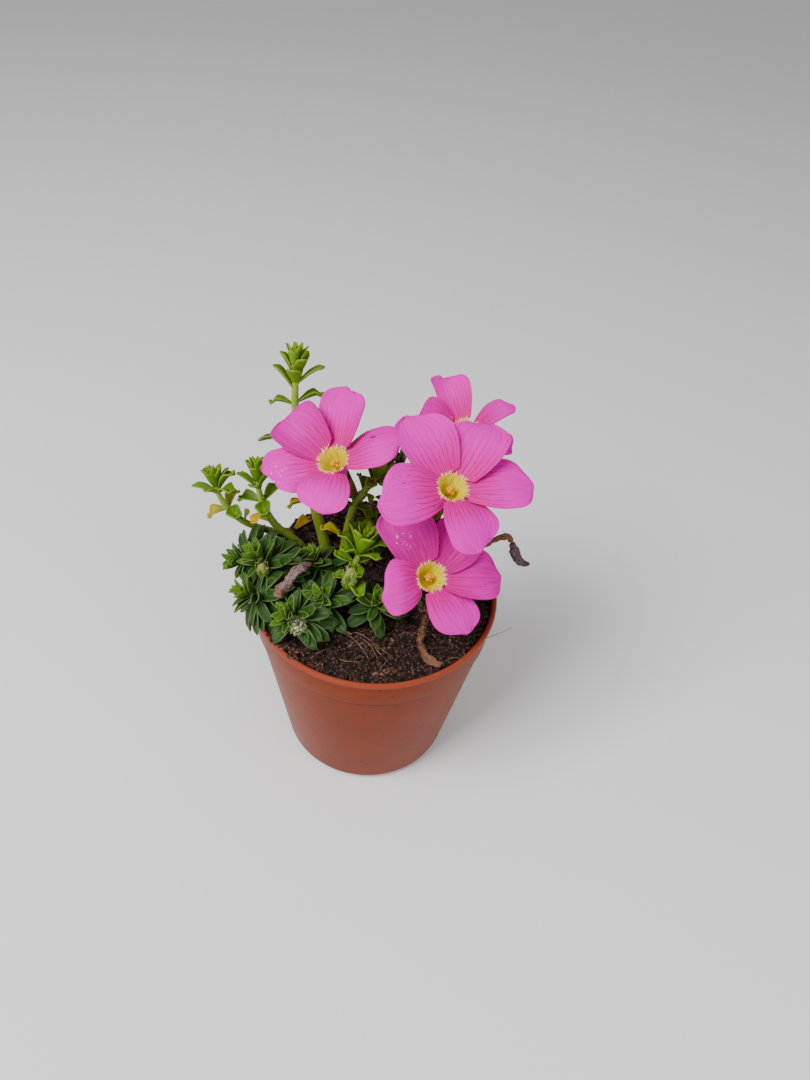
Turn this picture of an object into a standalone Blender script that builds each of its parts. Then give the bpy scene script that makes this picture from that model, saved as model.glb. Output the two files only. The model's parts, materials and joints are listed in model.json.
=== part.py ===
# Pot-grown wood sorrel: a small plastic pot of soil, leafy shoots and rosettes, four blooms.
# Sizes and places below are millimetres. new_object() writes them to Blender in metres.
# The origin is the middle of the pot's underside, with +Z up and the front at -Y.

import bmesh
import bpy
import math
from mathutils import Matrix, Vector, noise
from mathutils.bvhtree import BVHTree

MM = 0.001
GAP = 0.3
GOLDEN_ANGLE = math.radians(137.5)

# Pot
POT_HEIGHT = 48.0
POT_RIM_RADIUS = 27.5
POT_WALL = 0.9
COLLAR_HEIGHT = 7.9
COLLAR_STEP = 0.4
LIP_HEIGHT = 1.2
LIP_PROUD = 0.3
POT_BASE_RADIUS = 19.8
BASE_ROUNDING = 2.4
POT_FLOOR = 1.2
POT_SEGMENTS = 32
DRAIN_HOLES = 6
DRAIN_HOLE_RADIUS = 2.0
DRAIN_RING_RADIUS = 12.5

# Soil
SOIL_LEVEL = 46.7
MOUND_RISE = 6.2
EDGE_FALL = 0.45
EDGE_WIDTH = 3.5
MOUND_TOWARDS = Vector((-0.68, 0.73))
MOUND_START = -8.0
MOUND_SPAN = 34.0
CRUMB_HEIGHT = 0.55
CRUMB_SCALE = 0.33
SOIL_RINGS = 5
SOIL_WALL_GAP = 0.35
HOLE_DEPTH = 7.0
HOLE_FLARE = 0.9

# Blooms
THROAT_RADIUS = 3.1
TUBE_LENGTH = 12.6
TUBE_RADIUS = 0.6
CUP_DEPTH = 4.6
PETAL_THICKNESS = 0.62
PETAL_TWIST = 0.2
PETAL_ROOT = 0.4
STAMEN_RADIUS = 0.75
CALYX_RADIUS = 1.25
SEPAL_LENGTH = 5.2

# Leaves
LEAF_THICKNESS = 0.64
TIP_DROOP = 0.13
# Stations along a leaf: share of its length, and share of its width there
LEAF_STATIONS = {
    "narrow": ((0.0, 0.26), (0.40, 0.94), (0.76, 0.84)),
    "slim": ((0.0, 0.26), (0.55, 1.0)),
    "heart": ((0.0, 0.22), (0.70, 1.0), (1.0, 0.62)),
}
HEART_NOTCH = 0.1
# A leaf starts this share of the stem's radius out from its axis
LEAF_ROOT = 0.35
# Sizes tried for a leaf, and the steps by which it bends up or down and swings round the stem
LEAF_SIZES = (1.0, 0.82, 0.66)
BEND_STEP = math.radians(13)
SWING_STEP = math.radians(15)
BEND_AMOUNTS = (1, 2, 3)
ROOM_ROUND_A_LEAF = 0.28
# Where the stalk end and the tip of the fallen leaf lie: x, y and height above the soil
FALLEN_LEAF = ((-19.6, 10.6, 0.65), (-16.6, 14.8, 1.2))

# Stems and sepals
STEM_SIDES = 5
PATH_STEPS = 2
STEM_ABOVE_SOIL = 0.8
STALK_RADII = (0.62, 0.6)
SEPALS = 5
SEPAL_TILT = math.radians(7)
SEPAL_WIDTH = 1.5
SEPAL_FOLD = 0.05

COLOURS = {
    "terracotta plastic": ((0.50, 0.135, 0.05), 0.42),
    "peat": ((0.045, 0.022, 0.014), 0.95),
    "pink petal": ((0.86, 0.10, 0.55), 0.5),
    "golden stamen": ((0.90, 0.55, 0.03), 0.6),
    "fresh green": ((0.17, 0.31, 0.04), 0.5),
    "dark green": ((0.045, 0.14, 0.035), 0.5),
    "yellowed leaf": ((0.72, 0.52, 0.06), 0.55),
    "withered brown": ((0.16, 0.09, 0.06), 0.8),
    "withered purple": ((0.07, 0.045, 0.075), 0.8),
}


def clear_scene():
    for item in list(bpy.data.objects):
        bpy.data.objects.remove(item, do_unlink=True)


def material(colour):
    found = bpy.data.materials.get(colour)
    if found:
        return found
    made = bpy.data.materials.new(colour)
    made.use_nodes = True
    shader = made.node_tree.nodes["Principled BSDF"]
    (red, green, blue), roughness = COLOURS[colour]
    shader.inputs["Base Color"].default_value = (red, green, blue, 1.0)
    shader.inputs["Roughness"].default_value = roughness
    shader.inputs["Metallic"].default_value = 0.0
    return made


def new_object(name, shape, colour):
    points, faces = shape
    mesh = bpy.data.meshes.new(name)
    mesh.from_pydata([Vector(p) * MM for p in points], [], faces)
    mesh.materials.append(material(colour))
    made = bpy.data.objects.new(name, mesh)
    bpy.context.scene.collection.objects.link(made)
    return made


def open_edges(mesh):
    count = {}
    for face in mesh.polygons:
        for key in face.edge_keys:
            count[key] = count.get(key, 0) + 1
    return sum(1 for uses in count.values() if uses != 2)


def apply_boolean(target, operation, operands, solver):
    """Join or cut the target with each operand in one Boolean, and give the new mesh."""
    group = bpy.data.collections.new(target.name + " operands")
    bpy.context.scene.collection.children.link(group)
    for operand in operands:
        bpy.context.scene.collection.objects.unlink(operand)
        group.objects.link(operand)
    change = target.modifiers.new(operation.lower(), "BOOLEAN")
    change.operation = operation
    change.operand_type = "COLLECTION"
    change.collection = group
    change.solver = solver
    bpy.context.view_layer.update()
    mesh = bpy.data.meshes.new_from_object(target.evaluated_get(bpy.context.evaluated_depsgraph_get()))
    target.modifiers.remove(change)
    for operand in operands:
        group.objects.unlink(operand)
        bpy.context.scene.collection.objects.link(operand)
    bpy.data.collections.remove(group)
    return mesh


def drop_scraps(mesh):
    """Keep the largest connected shell: a sealed hollow is filled, and a loose scrap goes."""
    work = bmesh.new()
    work.from_mesh(mesh)
    waiting = set(work.faces)
    shells = []
    while waiting:
        shell = {waiting.pop()}
        edge_of_shell = list(shell)
        while edge_of_shell:
            face = edge_of_shell.pop()
            for edge in face.edges:
                for neighbour in edge.link_faces:
                    if neighbour in waiting:
                        waiting.discard(neighbour)
                        shell.add(neighbour)
                        edge_of_shell.append(neighbour)
        shells.append(shell)
    largest = max(shells, key=len)
    others = [face for shell in shells if shell is not largest for face in shell]
    bmesh.ops.delete(work, geom=others, context="FACES")
    work.to_mesh(mesh)
    work.free()


def combine(target, operation, operands):
    """Boolean with the exact solver, or with the manifold solver where that leaves a hole."""
    mesh = apply_boolean(target, operation, operands, "EXACT")
    if open_edges(mesh) or not mesh.polygons:
        mesh = apply_boolean(target, operation, operands, "MANIFOLD")
    for operand in operands:
        bpy.data.objects.remove(operand, do_unlink=True)
    drop_scraps(mesh)
    mesh.name = target.name
    target.data = mesh
    return target


# Curves, stems and turned shapes

def smooth_path(points, steps=3):
    """Points along one smooth curve through the given points (Catmull-Rom)."""
    given = [Vector(p) for p in points]
    ends = [given[0] * 2 - given[1]] + given + [given[-1] * 2 - given[-2]]
    curve = []
    for a, b, c, d in zip(ends, ends[1:], ends[2:], ends[3:]):
        for step in range(steps):
            t = step / steps
            square, cube = t * t, t * t * t
            curve.append(((b * 2) + (c - a) * t + (a * 2 - b * 5 + c * 4 - d) * square
                          + (b * 3 - a - c * 3 + d) * cube) * 0.5)
    curve.append(given[-1])
    return curve


def directions(path):
    ahead = [path[1] - path[0]]
    ahead += [after - before for before, after in zip(path, path[2:])]
    ahead.append(path[-1] - path[-2])
    return [step.normalized() for step in ahead]


def side_vectors(direction):
    across = direction.cross(Vector((0.0, 1.0, 0.0)))
    if across.length < 0.1:
        across = direction.cross(Vector((1.0, 0.0, 0.0)))
    across.normalize()
    return across, direction.cross(across)


def skin_rings(rings):
    """Close a stack of rings of equal size with quads and a cap at each end."""
    size = len(rings[0])
    points = [p for ring in rings for p in ring]
    faces = []
    for level in range(len(rings) - 1):
        low, high = level * size, (level + 1) * size
        for i in range(size):
            j = (i + 1) % size
            faces.append((low + i, low + j, high + j, high + i))
    faces.append(tuple(reversed(range(size))))
    last = (len(rings) - 1) * size
    faces.append(tuple(range(last, last + size)))
    return points, faces


def stem(path, radii, sides=STEM_SIDES):
    """A round stem along the path; its radius runs through the given radii."""
    rings = []
    for place, (point, ahead) in enumerate(zip(path, directions(path))):
        across, up = side_vectors(ahead)
        radius = along(radii, place / (len(path) - 1))
        turn = 2 * math.pi / sides
        rings.append([point + (across * math.cos(i * turn) + up * math.sin(i * turn)) * radius
                      for i in range(sides)])
    return skin_rings(rings)


def along(values, t):
    """The value a share t of the way through a list of values."""
    place = t * (len(values) - 1)
    first = min(int(place), len(values) - 2)
    share = place - first
    return values[first] * (1 - share) + values[first + 1] * share


def turned(profile, segments, centre=Vector((0, 0, 0)), axis=Vector((0, 0, 1))):
    """A closed solid turned about an axis, from (radius, height) pairs up its outer side.

    The first and the last pair are the middles of the bottom and of the top."""
    across, up = side_vectors(axis)
    points = [centre + axis * profile[0][1]]
    for radius, height in profile[1:-1]:
        for i in range(segments):
            angle = 2 * math.pi * i / segments
            spoke = across * math.cos(angle) + up * math.sin(angle)
            points.append(centre + axis * height + spoke * radius)
    points.append(centre + axis * profile[-1][1])
    faces = []
    top = len(points) - 1
    last = top - segments
    for i in range(segments):
        j = (i + 1) % segments
        faces.append((0, 1 + j, 1 + i))
        faces.append((top, last + i, last + j))
        for level in range(len(profile) - 3):
            low = 1 + level * segments
            high = low + segments
            faces.append((low + i, low + j, high + j, high + i))
    return points, faces


# Pot and soil

def pot_outer_radius(height):
    """Outer radius of the tapered wall below the collar."""
    top = POT_RIM_RADIUS - LIP_PROUD - COLLAR_STEP
    collar_foot = POT_HEIGHT - COLLAR_HEIGHT
    return POT_BASE_RADIUS + (top - 0.55 - POT_BASE_RADIUS) * height / collar_foot


def pot_inner_radius(height):
    collar_foot = POT_HEIGHT - COLLAR_HEIGHT
    if height <= collar_foot:
        return pot_outer_radius(height) - POT_WALL
    foot_radius = pot_outer_radius(collar_foot) + COLLAR_STEP - POT_WALL
    rim_radius = POT_RIM_RADIUS - LIP_PROUD - POT_WALL
    return foot_radius + (rim_radius - foot_radius) * (height - collar_foot) / COLLAR_HEIGHT


def build_pot():
    collar_foot = POT_HEIGHT - COLLAR_HEIGHT
    collar_radius = POT_RIM_RADIUS - LIP_PROUD
    profile = [(0.0, 0.0), (POT_BASE_RADIUS - BASE_ROUNDING, 0.0)]
    for degrees in (30, 60, 90):
        angle = math.radians(degrees)
        height = BASE_ROUNDING * (1 - math.cos(angle))
        inset = BASE_ROUNDING * (1 - math.sin(angle))
        profile.append((pot_outer_radius(height) - inset, height))
    profile += [
        (pot_outer_radius(collar_foot), collar_foot),
        (pot_outer_radius(collar_foot) + COLLAR_STEP, collar_foot + 0.5),
        (collar_radius, POT_HEIGHT - LIP_HEIGHT),
        (POT_RIM_RADIUS, POT_HEIGHT - LIP_HEIGHT + 0.3),
        (POT_RIM_RADIUS, POT_HEIGHT - 0.3),
        (POT_RIM_RADIUS - 0.35, POT_HEIGHT),
        (POT_RIM_RADIUS - 0.8, POT_HEIGHT),
        (pot_inner_radius(POT_HEIGHT - 0.8), POT_HEIGHT - 0.8),
        (pot_inner_radius(collar_foot + 1.2), collar_foot + 1.2),
        (pot_inner_radius(collar_foot), collar_foot),
        (pot_inner_radius(POT_FLOOR) - BASE_ROUNDING * 0.3, POT_FLOOR + 1.0),
        (pot_inner_radius(POT_FLOOR) - BASE_ROUNDING, POT_FLOOR),
        (0.0, POT_FLOOR),
    ]
    pot = new_object("pot", turned(profile, POT_SEGMENTS), "terracotta plastic")
    cutters = []
    for i in range(DRAIN_HOLES):
        angle = 2 * math.pi * (i + 0.5) / DRAIN_HOLES
        foot = Vector((math.cos(angle), math.sin(angle), 0)) * DRAIN_RING_RADIUS
        reach = Vector((0, 0, POT_FLOOR * 2))
        hole = stem([foot - reach, foot + reach], [DRAIN_HOLE_RADIUS] * 2, sides=12)
        cutters.append(new_object("drain hole %d" % i, hole, "terracotta plastic"))
    return combine(pot, "DIFFERENCE", cutters)


def soil_height(x, y):
    """Height of the soil: level at the front and right, mounded at the back left."""
    rise = (Vector((x, y)).dot(MOUND_TOWARDS) - MOUND_START) / MOUND_SPAN
    rise = max(0.0, min(1.0, rise))
    mound = MOUND_RISE * rise * rise * (3 - 2 * rise)
    to_edge = pot_inner_radius(POT_HEIGHT) - math.hypot(x, y)
    mound *= 1 - EDGE_FALL * max(0.0, 1 - to_edge / EDGE_WIDTH)
    crumbs = noise.noise(Vector((x * CRUMB_SCALE, y * CRUMB_SCALE, 3.7)))
    return SOIL_LEVEL + mound + CRUMB_HEIGHT * crumbs


def build_soil(holes):
    """Soil that fills the pot with a rough top, cut by one plain hole for each stem."""
    foot = POT_FLOOR + GAP
    profile = [(0.0, foot), (pot_inner_radius(foot) - BASE_ROUNDING - SOIL_WALL_GAP, foot)]
    low = POT_FLOOR + 1.0 + SOIL_WALL_GAP
    profile.append((pot_inner_radius(low) - BASE_ROUNDING * 0.3 - SOIL_WALL_GAP, low))
    high = POT_HEIGHT - COLLAR_HEIGHT
    profile.append((pot_inner_radius(high) - SOIL_WALL_GAP, high))
    edge = pot_inner_radius(POT_HEIGHT) - SOIL_WALL_GAP
    crest = edge - EDGE_WIDTH
    inner_rings = SOIL_RINGS - 1
    profile.append((edge, 0.0))
    profile += [(crest * (1 - ring / inner_rings), 0.0) for ring in range(inner_rings)]
    profile.append((0.0, 0.0))
    points, faces = turned(profile, POT_SEGMENTS)
    surface = 1 + 3 * POT_SEGMENTS
    for i in range(surface, len(points)):
        points[i].z = soil_height(points[i].x, points[i].y)
    soil = new_object("soil", (points, faces), "peat")
    cutters = []
    for x, y, radius in holes:
        top = Vector((x, y, soil_height(x, y) + 6))
        bottom = Vector((x, y, hole_floor(x, y)))
        hole = stem([bottom, top], [radius + GAP + 0.1, radius + GAP + HOLE_FLARE], sides=8)
        cutters.append(new_object("stem hole", hole, "peat"))
    return combine(soil, "DIFFERENCE", cutters)


def hole_floor(x, y):
    return soil_height(x, y) - HOLE_DEPTH


# Leaflets, sepals and petals

def leaflet(base, aim, face, length, width, form, fold=0.42, grow=0.0):
    """One leaflet: its edges stand above the rib by the fold, and its tip bends away from its face.

    form is "narrow", "slim" or "heart". grow makes it larger all round, to test the room round it."""
    side = face.cross(aim).normalized()
    thick = LEAF_THICKNESS / 2 + grow
    stations = LEAF_STATIONS[form]
    points = []
    for share, spread in stations:
        half = width / 2 * spread + grow
        middle = base + aim * length * share - face * length * TIP_DROOP * share * share
        raised = middle + face * half * fold
        if form == "heart" and share == 1.0:
            middle = middle - aim * length * HEART_NOTCH
        points += [raised + side * half, middle + face * thick, raised - side * half, middle - face * thick]
    faces = [(3, 2, 1), (3, 1, 0)]
    for low in range(0, 4 * (len(stations) - 1), 4):
        left, top, right, under = range(low, low + 4)
        next_left, next_top, next_right, next_under = range(low + 4, low + 8)
        faces += [(left, top, next_top), (left, next_top, next_left)]
        faces += [(top, right, next_top), (right, next_right, next_top)]
        faces += [(right, under, next_under), (right, next_under, next_right)]
        faces += [(under, left, next_under), (left, next_left, next_under)]
    left, top, right, under = range(len(points) - 4, len(points))
    if form == "heart":
        faces += [(left, top, under), (top, right, under)]
    else:
        tip = len(points)
        points.append(base + aim * (length + grow) - face * length * TIP_DROOP)
        faces += [(left, top, tip), (top, right, tip), (right, under, tip), (under, left, tip)]
    return points, faces


def petal(centre, axis, turn, reach, width, spec):
    """One petal: a waved blade from the throat, its right edge lifted over the next petal.

    spec is (lift at the end, curl of the tip, fold across it, slant of its tip)."""
    lift, curl, fold, slant = spec
    u = Vector((1, 0, 0))
    u = (u - axis * u.dot(axis)).normalized()
    v = axis.cross(u)
    angle = math.radians(turn)
    out = u * math.cos(angle) + v * math.sin(angle)
    side = axis.cross(out)
    start = THROAT_RADIUS - PETAL_ROOT
    shares = (0.0, 0.22, 0.54, 0.84, 1.0)
    widths = (0.38, 0.60, 0.98, 0.88, 0.42)
    across = (-1.0, -0.36, 0.36, 1.0)
    upper, lower = [], []
    for share, spread in zip(shares, widths):
        for c in across:
            half = width / 2 * spread
            r = start + (reach - start) * share
            if share > 0.8:
                r += slant * c * (share - 0.8) * 5 - 0.9 * abs(c) * (share - 0.8) * 5
            rise = lift * math.sin(min(1.0, share * 1.15) * math.pi / 2) - curl * share * share * share
            rise += fold * c * c * spread - PETAL_TWIST * c * half * (1 - 0.35 * share)
            point = centre + out * r + side * half * c + axis * (rise - 0.4)
            upper.append(point + axis * PETAL_THICKNESS / 2)
            lower.append(point - axis * PETAL_THICKNESS / 2)
    return blade(upper, lower, len(shares), len(across))


def blade(upper, lower, rows, columns):
    """A closed thin blade from two grids of points, split into triangles alike on both."""
    points = upper + lower
    shift = len(upper)
    faces = []
    for row in range(rows - 1):
        for column in range(columns - 1):
            a = row * columns + column
            b = a + 1
            c = b + columns
            d = a + columns
            faces += [(a, d, c), (a, c, b)]
            faces += [(a + shift, c + shift, d + shift), (a + shift, b + shift, c + shift)]
    border = [c for c in range(columns)]
    border += [row * columns + columns - 1 for row in range(1, rows)]
    border += [(rows - 1) * columns + c for c in range(columns - 2, -1, -1)]
    border += [row * columns for row in range(rows - 2, 0, -1)]
    for a, b in zip(border, border[1:] + border[:1]):
        faces += [(a, b, b + shift), (a, b + shift, a + shift)]
    return points, faces


# Room between one piece and the next

class Room:
    """The pieces that are already placed, by node, so that a new leaf can bend clear."""

    def __init__(self):
        self.placed = []

    def add(self, node, shape):
        self.placed.append((node, BVHTree.FromPolygons(shape[0], shape[1])))

    def add_object(self, item):
        points = [vertex.co / MM for vertex in item.data.vertices]
        self.add(item.name, (points, [tuple(face.vertices) for face in item.data.polygons]))

    def is_free(self, node, shape):
        tree = BVHTree.FromPolygons(shape[0], shape[1])
        return not any(owner != node and other.overlap(tree) for owner, other in self.placed)


def bent_aims(aim, face, stem_axis):
    """The wanted direction first, then ones that bend the leaf up, down or to a side."""
    yield aim, face
    side = face.cross(aim).normalized()
    for amount in BEND_AMOUNTS:
        for bend_by, swing_by in ((-1, 0), (0, 1), (0, -1), (1, 0), (-1, 1), (-1, -1)):
            bend = Matrix.Rotation(BEND_STEP * amount * bend_by, 3, side)
            swing = Matrix.Rotation(SWING_STEP * amount * swing_by, 3, stem_axis)
            turn = swing @ bend
            yield turn @ aim, turn @ face


def placed_leaf(room, node, base, aim, face, stem_axis, length, width, form):
    """The leaf as wanted, or bent clear of other nodes, or shorter; None where nothing fits."""
    for size in LEAF_SIZES:
        for new_aim, new_face in bent_aims(aim, face, stem_axis):
            wide = leaflet(base, new_aim, new_face, length * size, width * size, form, grow=ROOM_ROUND_A_LEAF)
            if room.is_free(node, wide):
                shape = leaflet(base, new_aim, new_face, length * size, width * size, form)
                room.add(node, shape)
                return shape
    return None


# Leaf rules. Each gives, for one leaf: its place up the stem, turn, spread, length and width

def ring(at, count, turn, spread, length, width, form="heart"):
    """A ring of equal leaves round the stem."""
    return [(at, turn + 360 * i / count, spread, length, width, form) for i in range(count)]


def single(at, turn, spread, length, width, form="heart"):
    return [(at, turn, spread, length, width, form)]


def spiral(start, stop, count, turn, spread, length, width, form="narrow"):
    """Leaves up a spiral; spread, length and width run from the lowest leaf to the topmost."""
    leaves = []
    for i in range(count):
        t = i / (count - 1)
        leaves.append((start + (stop - start) * t,
                       turn + math.degrees(GOLDEN_ANGLE) * i,
                       spread[0] + (spread[1] - spread[0]) * t,
                       length[0] + (length[1] - length[0]) * t,
                       width[0] + (width[1] - width[0]) * t,
                       form if t < 0.5 else "slim"))
    return leaves


def leaf_frame(path, radii, at, turn, spread):
    """Where a leaf leaves the stem: its root, its direction, its upper face and the stem's axis."""
    place = at * (len(path) - 1)
    first = min(int(place), len(path) - 2)
    share = place - first
    point = path[first].lerp(path[first + 1], share)
    axis = (path[first + 1] - path[first]).normalized()
    east = Vector((1, 0, 0))
    east = (east - axis * east.dot(axis)).normalized()
    north = axis.cross(east)
    angle = math.radians(turn)
    spoke = east * math.cos(angle) + north * math.sin(angle)
    opening = math.radians(spread)
    aim = axis * math.cos(opening) + spoke * math.sin(opening)
    face = axis * math.sin(opening) - spoke * math.cos(opening)
    root = point + spoke * along(radii, at) * LEAF_ROOT
    return root, aim, face, axis


class Shoot:
    """A leafy stem or a rosette: one stem, its leaves, and any bud or flower stalk it bears."""

    def __init__(self, name, colour, root, through, radii, leaves):
        self.name = name
        self.colour = colour
        self.root = root
        self.radii = radii
        self.leaves = leaves
        x, y = root
        foot = Vector((x, y, hole_floor(x, y) + GAP))
        ground = Vector((x, y, soil_height(x, y) + STEM_ABOVE_SOIL))
        path = smooth_path([foot, ground] + [Vector(p) for p in through], PATH_STEPS)
        self.path = path[PATH_STEPS:]
        self.parts = [stem(path, radii)]

    def bear(self, shape):
        self.parts.append(shape)

    def claim(self, room):
        for shape in self.parts:
            room.add(self.name, shape)

    def grow_leaves(self, room):
        for at, turn, spread, length, width, form in self.leaves:
            root, aim, face, axis = leaf_frame(self.path, self.radii, at, turn, spread)
            shape = placed_leaf(room, self.name, root, aim, face, axis, length, width, form)
            if shape:
                self.parts.append(shape)

    def build(self):
        body = new_object(self.name, self.parts[0], self.colour)
        others = [new_object(self.name + " piece", shape, self.colour) for shape in self.parts[1:]]
        return combine(body, "UNION", others) if others else body


# Blooms

class Bloom:
    """Five petals joined in a funnel, the stamens in its throat, and the calyx under it."""

    def __init__(self, name, centre, axis, reach, width, petals):
        self.name = name
        self.centre = Vector(centre)
        self.axis = Vector(axis).normalized()
        self.reach = reach
        self.width = width
        self.petals = petals

    def at(self, height):
        return self.centre + self.axis * height

    def funnel(self):
        profile = [
            (0.0, -TUBE_LENGTH), (TUBE_RADIUS, -TUBE_LENGTH), (TUBE_RADIUS + 0.15, -8.6),
            (1.35, -5.8), (2.35, -2.5), (THROAT_RADIUS + 0.2, -0.2), (THROAT_RADIUS - 0.3, 0.0),
            (2.05, -1.9), (1.15, -CUP_DEPTH), (0.0, -CUP_DEPTH),
        ]
        return turned(profile, 8, self.centre, self.axis)

    def build_petals(self, room):
        body = new_object(self.name + "_petals", self.funnel(), "pink petal")
        room.add(body.name, self.funnel())
        blades = []
        for turn, length, spec in self.petals:
            shape = petal(self.centre, self.axis, turn, self.reach * length, self.width, spec)
            room.add(body.name, shape)
            blades.append(new_object("petal", shape, "pink petal"))
        return combine(body, "UNION", blades)

    def build_stamens(self):
        foot = -CUP_DEPTH + GAP
        profile = [
            (0.0, foot), (STAMEN_RADIUS * 0.6, foot), (STAMEN_RADIUS * 0.55, -2.3),
            (STAMEN_RADIUS, -1.7), (STAMEN_RADIUS, -0.9), (0.0, -0.5),
        ]
        return new_object(self.name + "_stamens", turned(profile, 8, self.centre, self.axis), "golden stamen")

    def calyx(self, stalk_from):
        """The flower stalk, its swollen top and five sepals, for the shoot that bears the bloom."""
        seat = -TUBE_LENGTH - GAP
        foot = seat - 2.0
        profile = [(0.0, foot), (0.6, foot), (CALYX_RADIUS + 0.1, seat - 0.8),
                   (CALYX_RADIUS + 0.1, seat), (0.0, seat)]
        shapes = [turned(profile, 8, self.centre, self.axis)]
        start = Vector(stalk_from)
        bend = self.at(foot - 2.0).lerp(start, 0.35)
        shapes.append(stem(smooth_path([start, bend, self.at(foot + 0.6)], PATH_STEPS), STALK_RADII))
        across, up = side_vectors(self.axis)
        for i in range(SEPALS):
            angle = 2 * math.pi * (i + 0.25) / SEPALS
            spoke = across * math.cos(angle) + up * math.sin(angle)
            aim = self.axis * math.cos(SEPAL_TILT) + spoke * math.sin(SEPAL_TILT)
            face = self.axis * math.sin(SEPAL_TILT) - spoke * math.cos(SEPAL_TILT)
            base = self.at(seat - 0.5) + spoke * CALYX_RADIUS
            shapes.append(leaflet(base, aim, face, SEPAL_LENGTH, SEPAL_WIDTH, "slim", fold=SEPAL_FOLD))
        return shapes


def bud(foot, tip, radius):
    """A plump closed bud on a short neck."""
    start = Vector(foot)
    axis = Vector(tip) - start
    length = axis.length
    profile = [(0.0, 0.0), (radius * 0.5, 0.0), (radius * 0.95, length * 0.25), (radius, length * 0.5),
               (radius * 0.6, length * 0.8), (0.0, length)]
    return turned(profile, 8, start, axis.normalized())


# The plant

PETALS_1 = [
    (80, 1.06, (3.4, 1.2, 1.5, 0.8)),
    (8, 1.02, (2.6, 1.6, -0.9, 0.3)),
    (269, 0.87, (2.4, 1.8, -0.8, 0.5)),
    (200, 0.95, (2.6, 1.0, -0.6, -0.9)),
    (139, 0.96, (4.4, 0.6, 2.2, 0.4)),
]
PETALS_2 = [
    (132, 1.02, (3.4, 1.0, 0.8, 1.0)),
    (68, 0.98, (3.4, 1.4, 0.8, -0.8)),
    (9, 1.04, (2.8, 1.4, -0.6, -0.2)),
    (298, 0.93, (2.4, 1.4, -0.7, -0.7)),
    (203, 1.00, (2.6, 1.2, -0.6, 0.9)),
]
PETALS_3 = [
    (130, 1.06, (3.6, 0.6, 1.0, 1.2)),
    (62, 0.90, (2.6, 1.0, 0.6, 0.3)),
    (9, 1.02, (3.0, 1.2, 0.6, -0.3)),
    (306, 0.99, (2.4, 1.4, -0.6, 0.4)),
    (204, 0.81, (2.4, 1.2, -0.7, 0.8)),
]
PETALS_4 = [
    (113, 1.00, (5.0, 0.4, 1.2, 0.9)),
    (20, 0.86, (4.2, 1.0, -0.6, -0.5)),
    (319, 1.06, (3.6, 1.6, -0.6, -0.8)),
    (235, 1.00, (3.6, 1.2, -0.4, 0.6)),
    (176, 0.74, (3.6, 0.0, 2.0, 0.2)),
]

BLOOMS = [
    Bloom("bloom_1", (-10.3, 2.5, 80.7), (-0.264, -0.344, 0.901), 15.0, 9.8, PETALS_1),
    Bloom("bloom_2", (13.9, -2.0, 80.5), (0.219, -0.360, 0.907), 16.2, 11.4, PETALS_2),
    Bloom("bloom_3", (11.7, -10.0, 63.2), (0.287, -0.511, 0.810), 14.6, 10.2, PETALS_3),
    Bloom("bloom_4", (15.8, 18.0, 81.5), (-0.141, -0.041, 0.989), 13.0, 8.4, PETALS_4),
]


def tall_shoots():
    """The five bright green upright shoots."""
    return [
        Shoot("shoot_back_left", "fresh green", (-12.0, 6.5),
              [(-15.2, 10.0, 61.6), (-18.0, 13.6, 71.6), (-19.8, 15.0, 82.4), (-19.6, 15.0, 91.9),
               (-19.7, 15.0, 96.0)],
              [1.3, 1.25, 1.15, 0.95, 0.8, 0.65, 0.45],
              spiral(0.9, 0.99, 9, 40, (50, 6), (4.6, 3.6), (2.2, 1.7))
              + ring(0.86, 3, 175, 46, 6.0, 3.6)
              + ring(0.70, 3, 20, 60, 4.8, 3.0)
              + single(0.58, 176, 80, 8.0, 3.4)
              + ring(0.33, 2, 100, 60, 4.6, 2.6)),
        Shoot("shoot_left", "fresh green", (-17.0, 5.5),
              [(-23.1, 5.0, 59.2), (-25.8, 5.0, 66.3), (-26.5, 5.4, 72.6)],
              [1.0, 0.95, 0.85, 0.7, 0.45],
              spiral(0.88, 0.99, 8, 15, (48, 8), (4.4, 3.4), (2.2, 1.7))
              + ring(0.80, 3, 200, 62, 4.8, 3.2)
              + ring(0.62, 3, 170, 68, 5.4, 3.4)
              + single(0.36, 150, 60, 4.0, 2.6)),
        Shoot("shoot_far_left", "fresh green", (-20.5, 9.0),
              [(-24.5, 7.6, 54.6), (-30.5, 5.8, 58.5), (-34.2, 5.0, 64.4), (-35.4, 5.0, 69.4)],
              [0.9, 0.9, 0.85, 0.75, 0.65, 0.45],
              spiral(0.90, 0.99, 8, 60, (46, 8), (4.6, 3.6), (2.2, 1.7))
              + ring(0.86, 3, 0, 58, 5.2, 3.2)
              + ring(0.66, 3, 195, 74, 4.8, 3.2)
              + single(0.48, 10, 60, 4.2, 2.6)),
        Shoot("shoot_middle", "fresh green", (-8.0, 4.5),
              [(-7.4, 5.6, 58.0), (-5.9, 7.0, 65.6), (-2.8, 7.2, 71.4), (-0.2, 7.5, 75.6)],
              [1.0, 0.95, 0.9, 0.8, 0.7, 0.45],
              spiral(0.88, 0.99, 8, 10, (50, 10), (4.8, 3.8), (2.2, 1.7))
              + ring(0.80, 3, 250, 60, 5.6, 3.2)
              + ring(0.64, 2, 300, 66, 5.2, 3.0)
              + ring(0.48, 3, 200, 66, 5.0, 3.0)),
        Shoot("shoot_front", "fresh green", (-5.5, -6.0),
              [(-5.0, -6.3, 57.0), (-3.2, -6.5, 64.4)],
              [0.9, 0.88, 0.8, 0.45],
              spiral(0.84, 0.99, 10, 30, (58, 8), (5.4, 3.6), (2.6, 1.8))
              + ring(0.74, 3, 170, 70, 5.8, 3.4)
              + ring(0.42, 3, 300, 64, 5.6, 3.6)),
    ]


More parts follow.
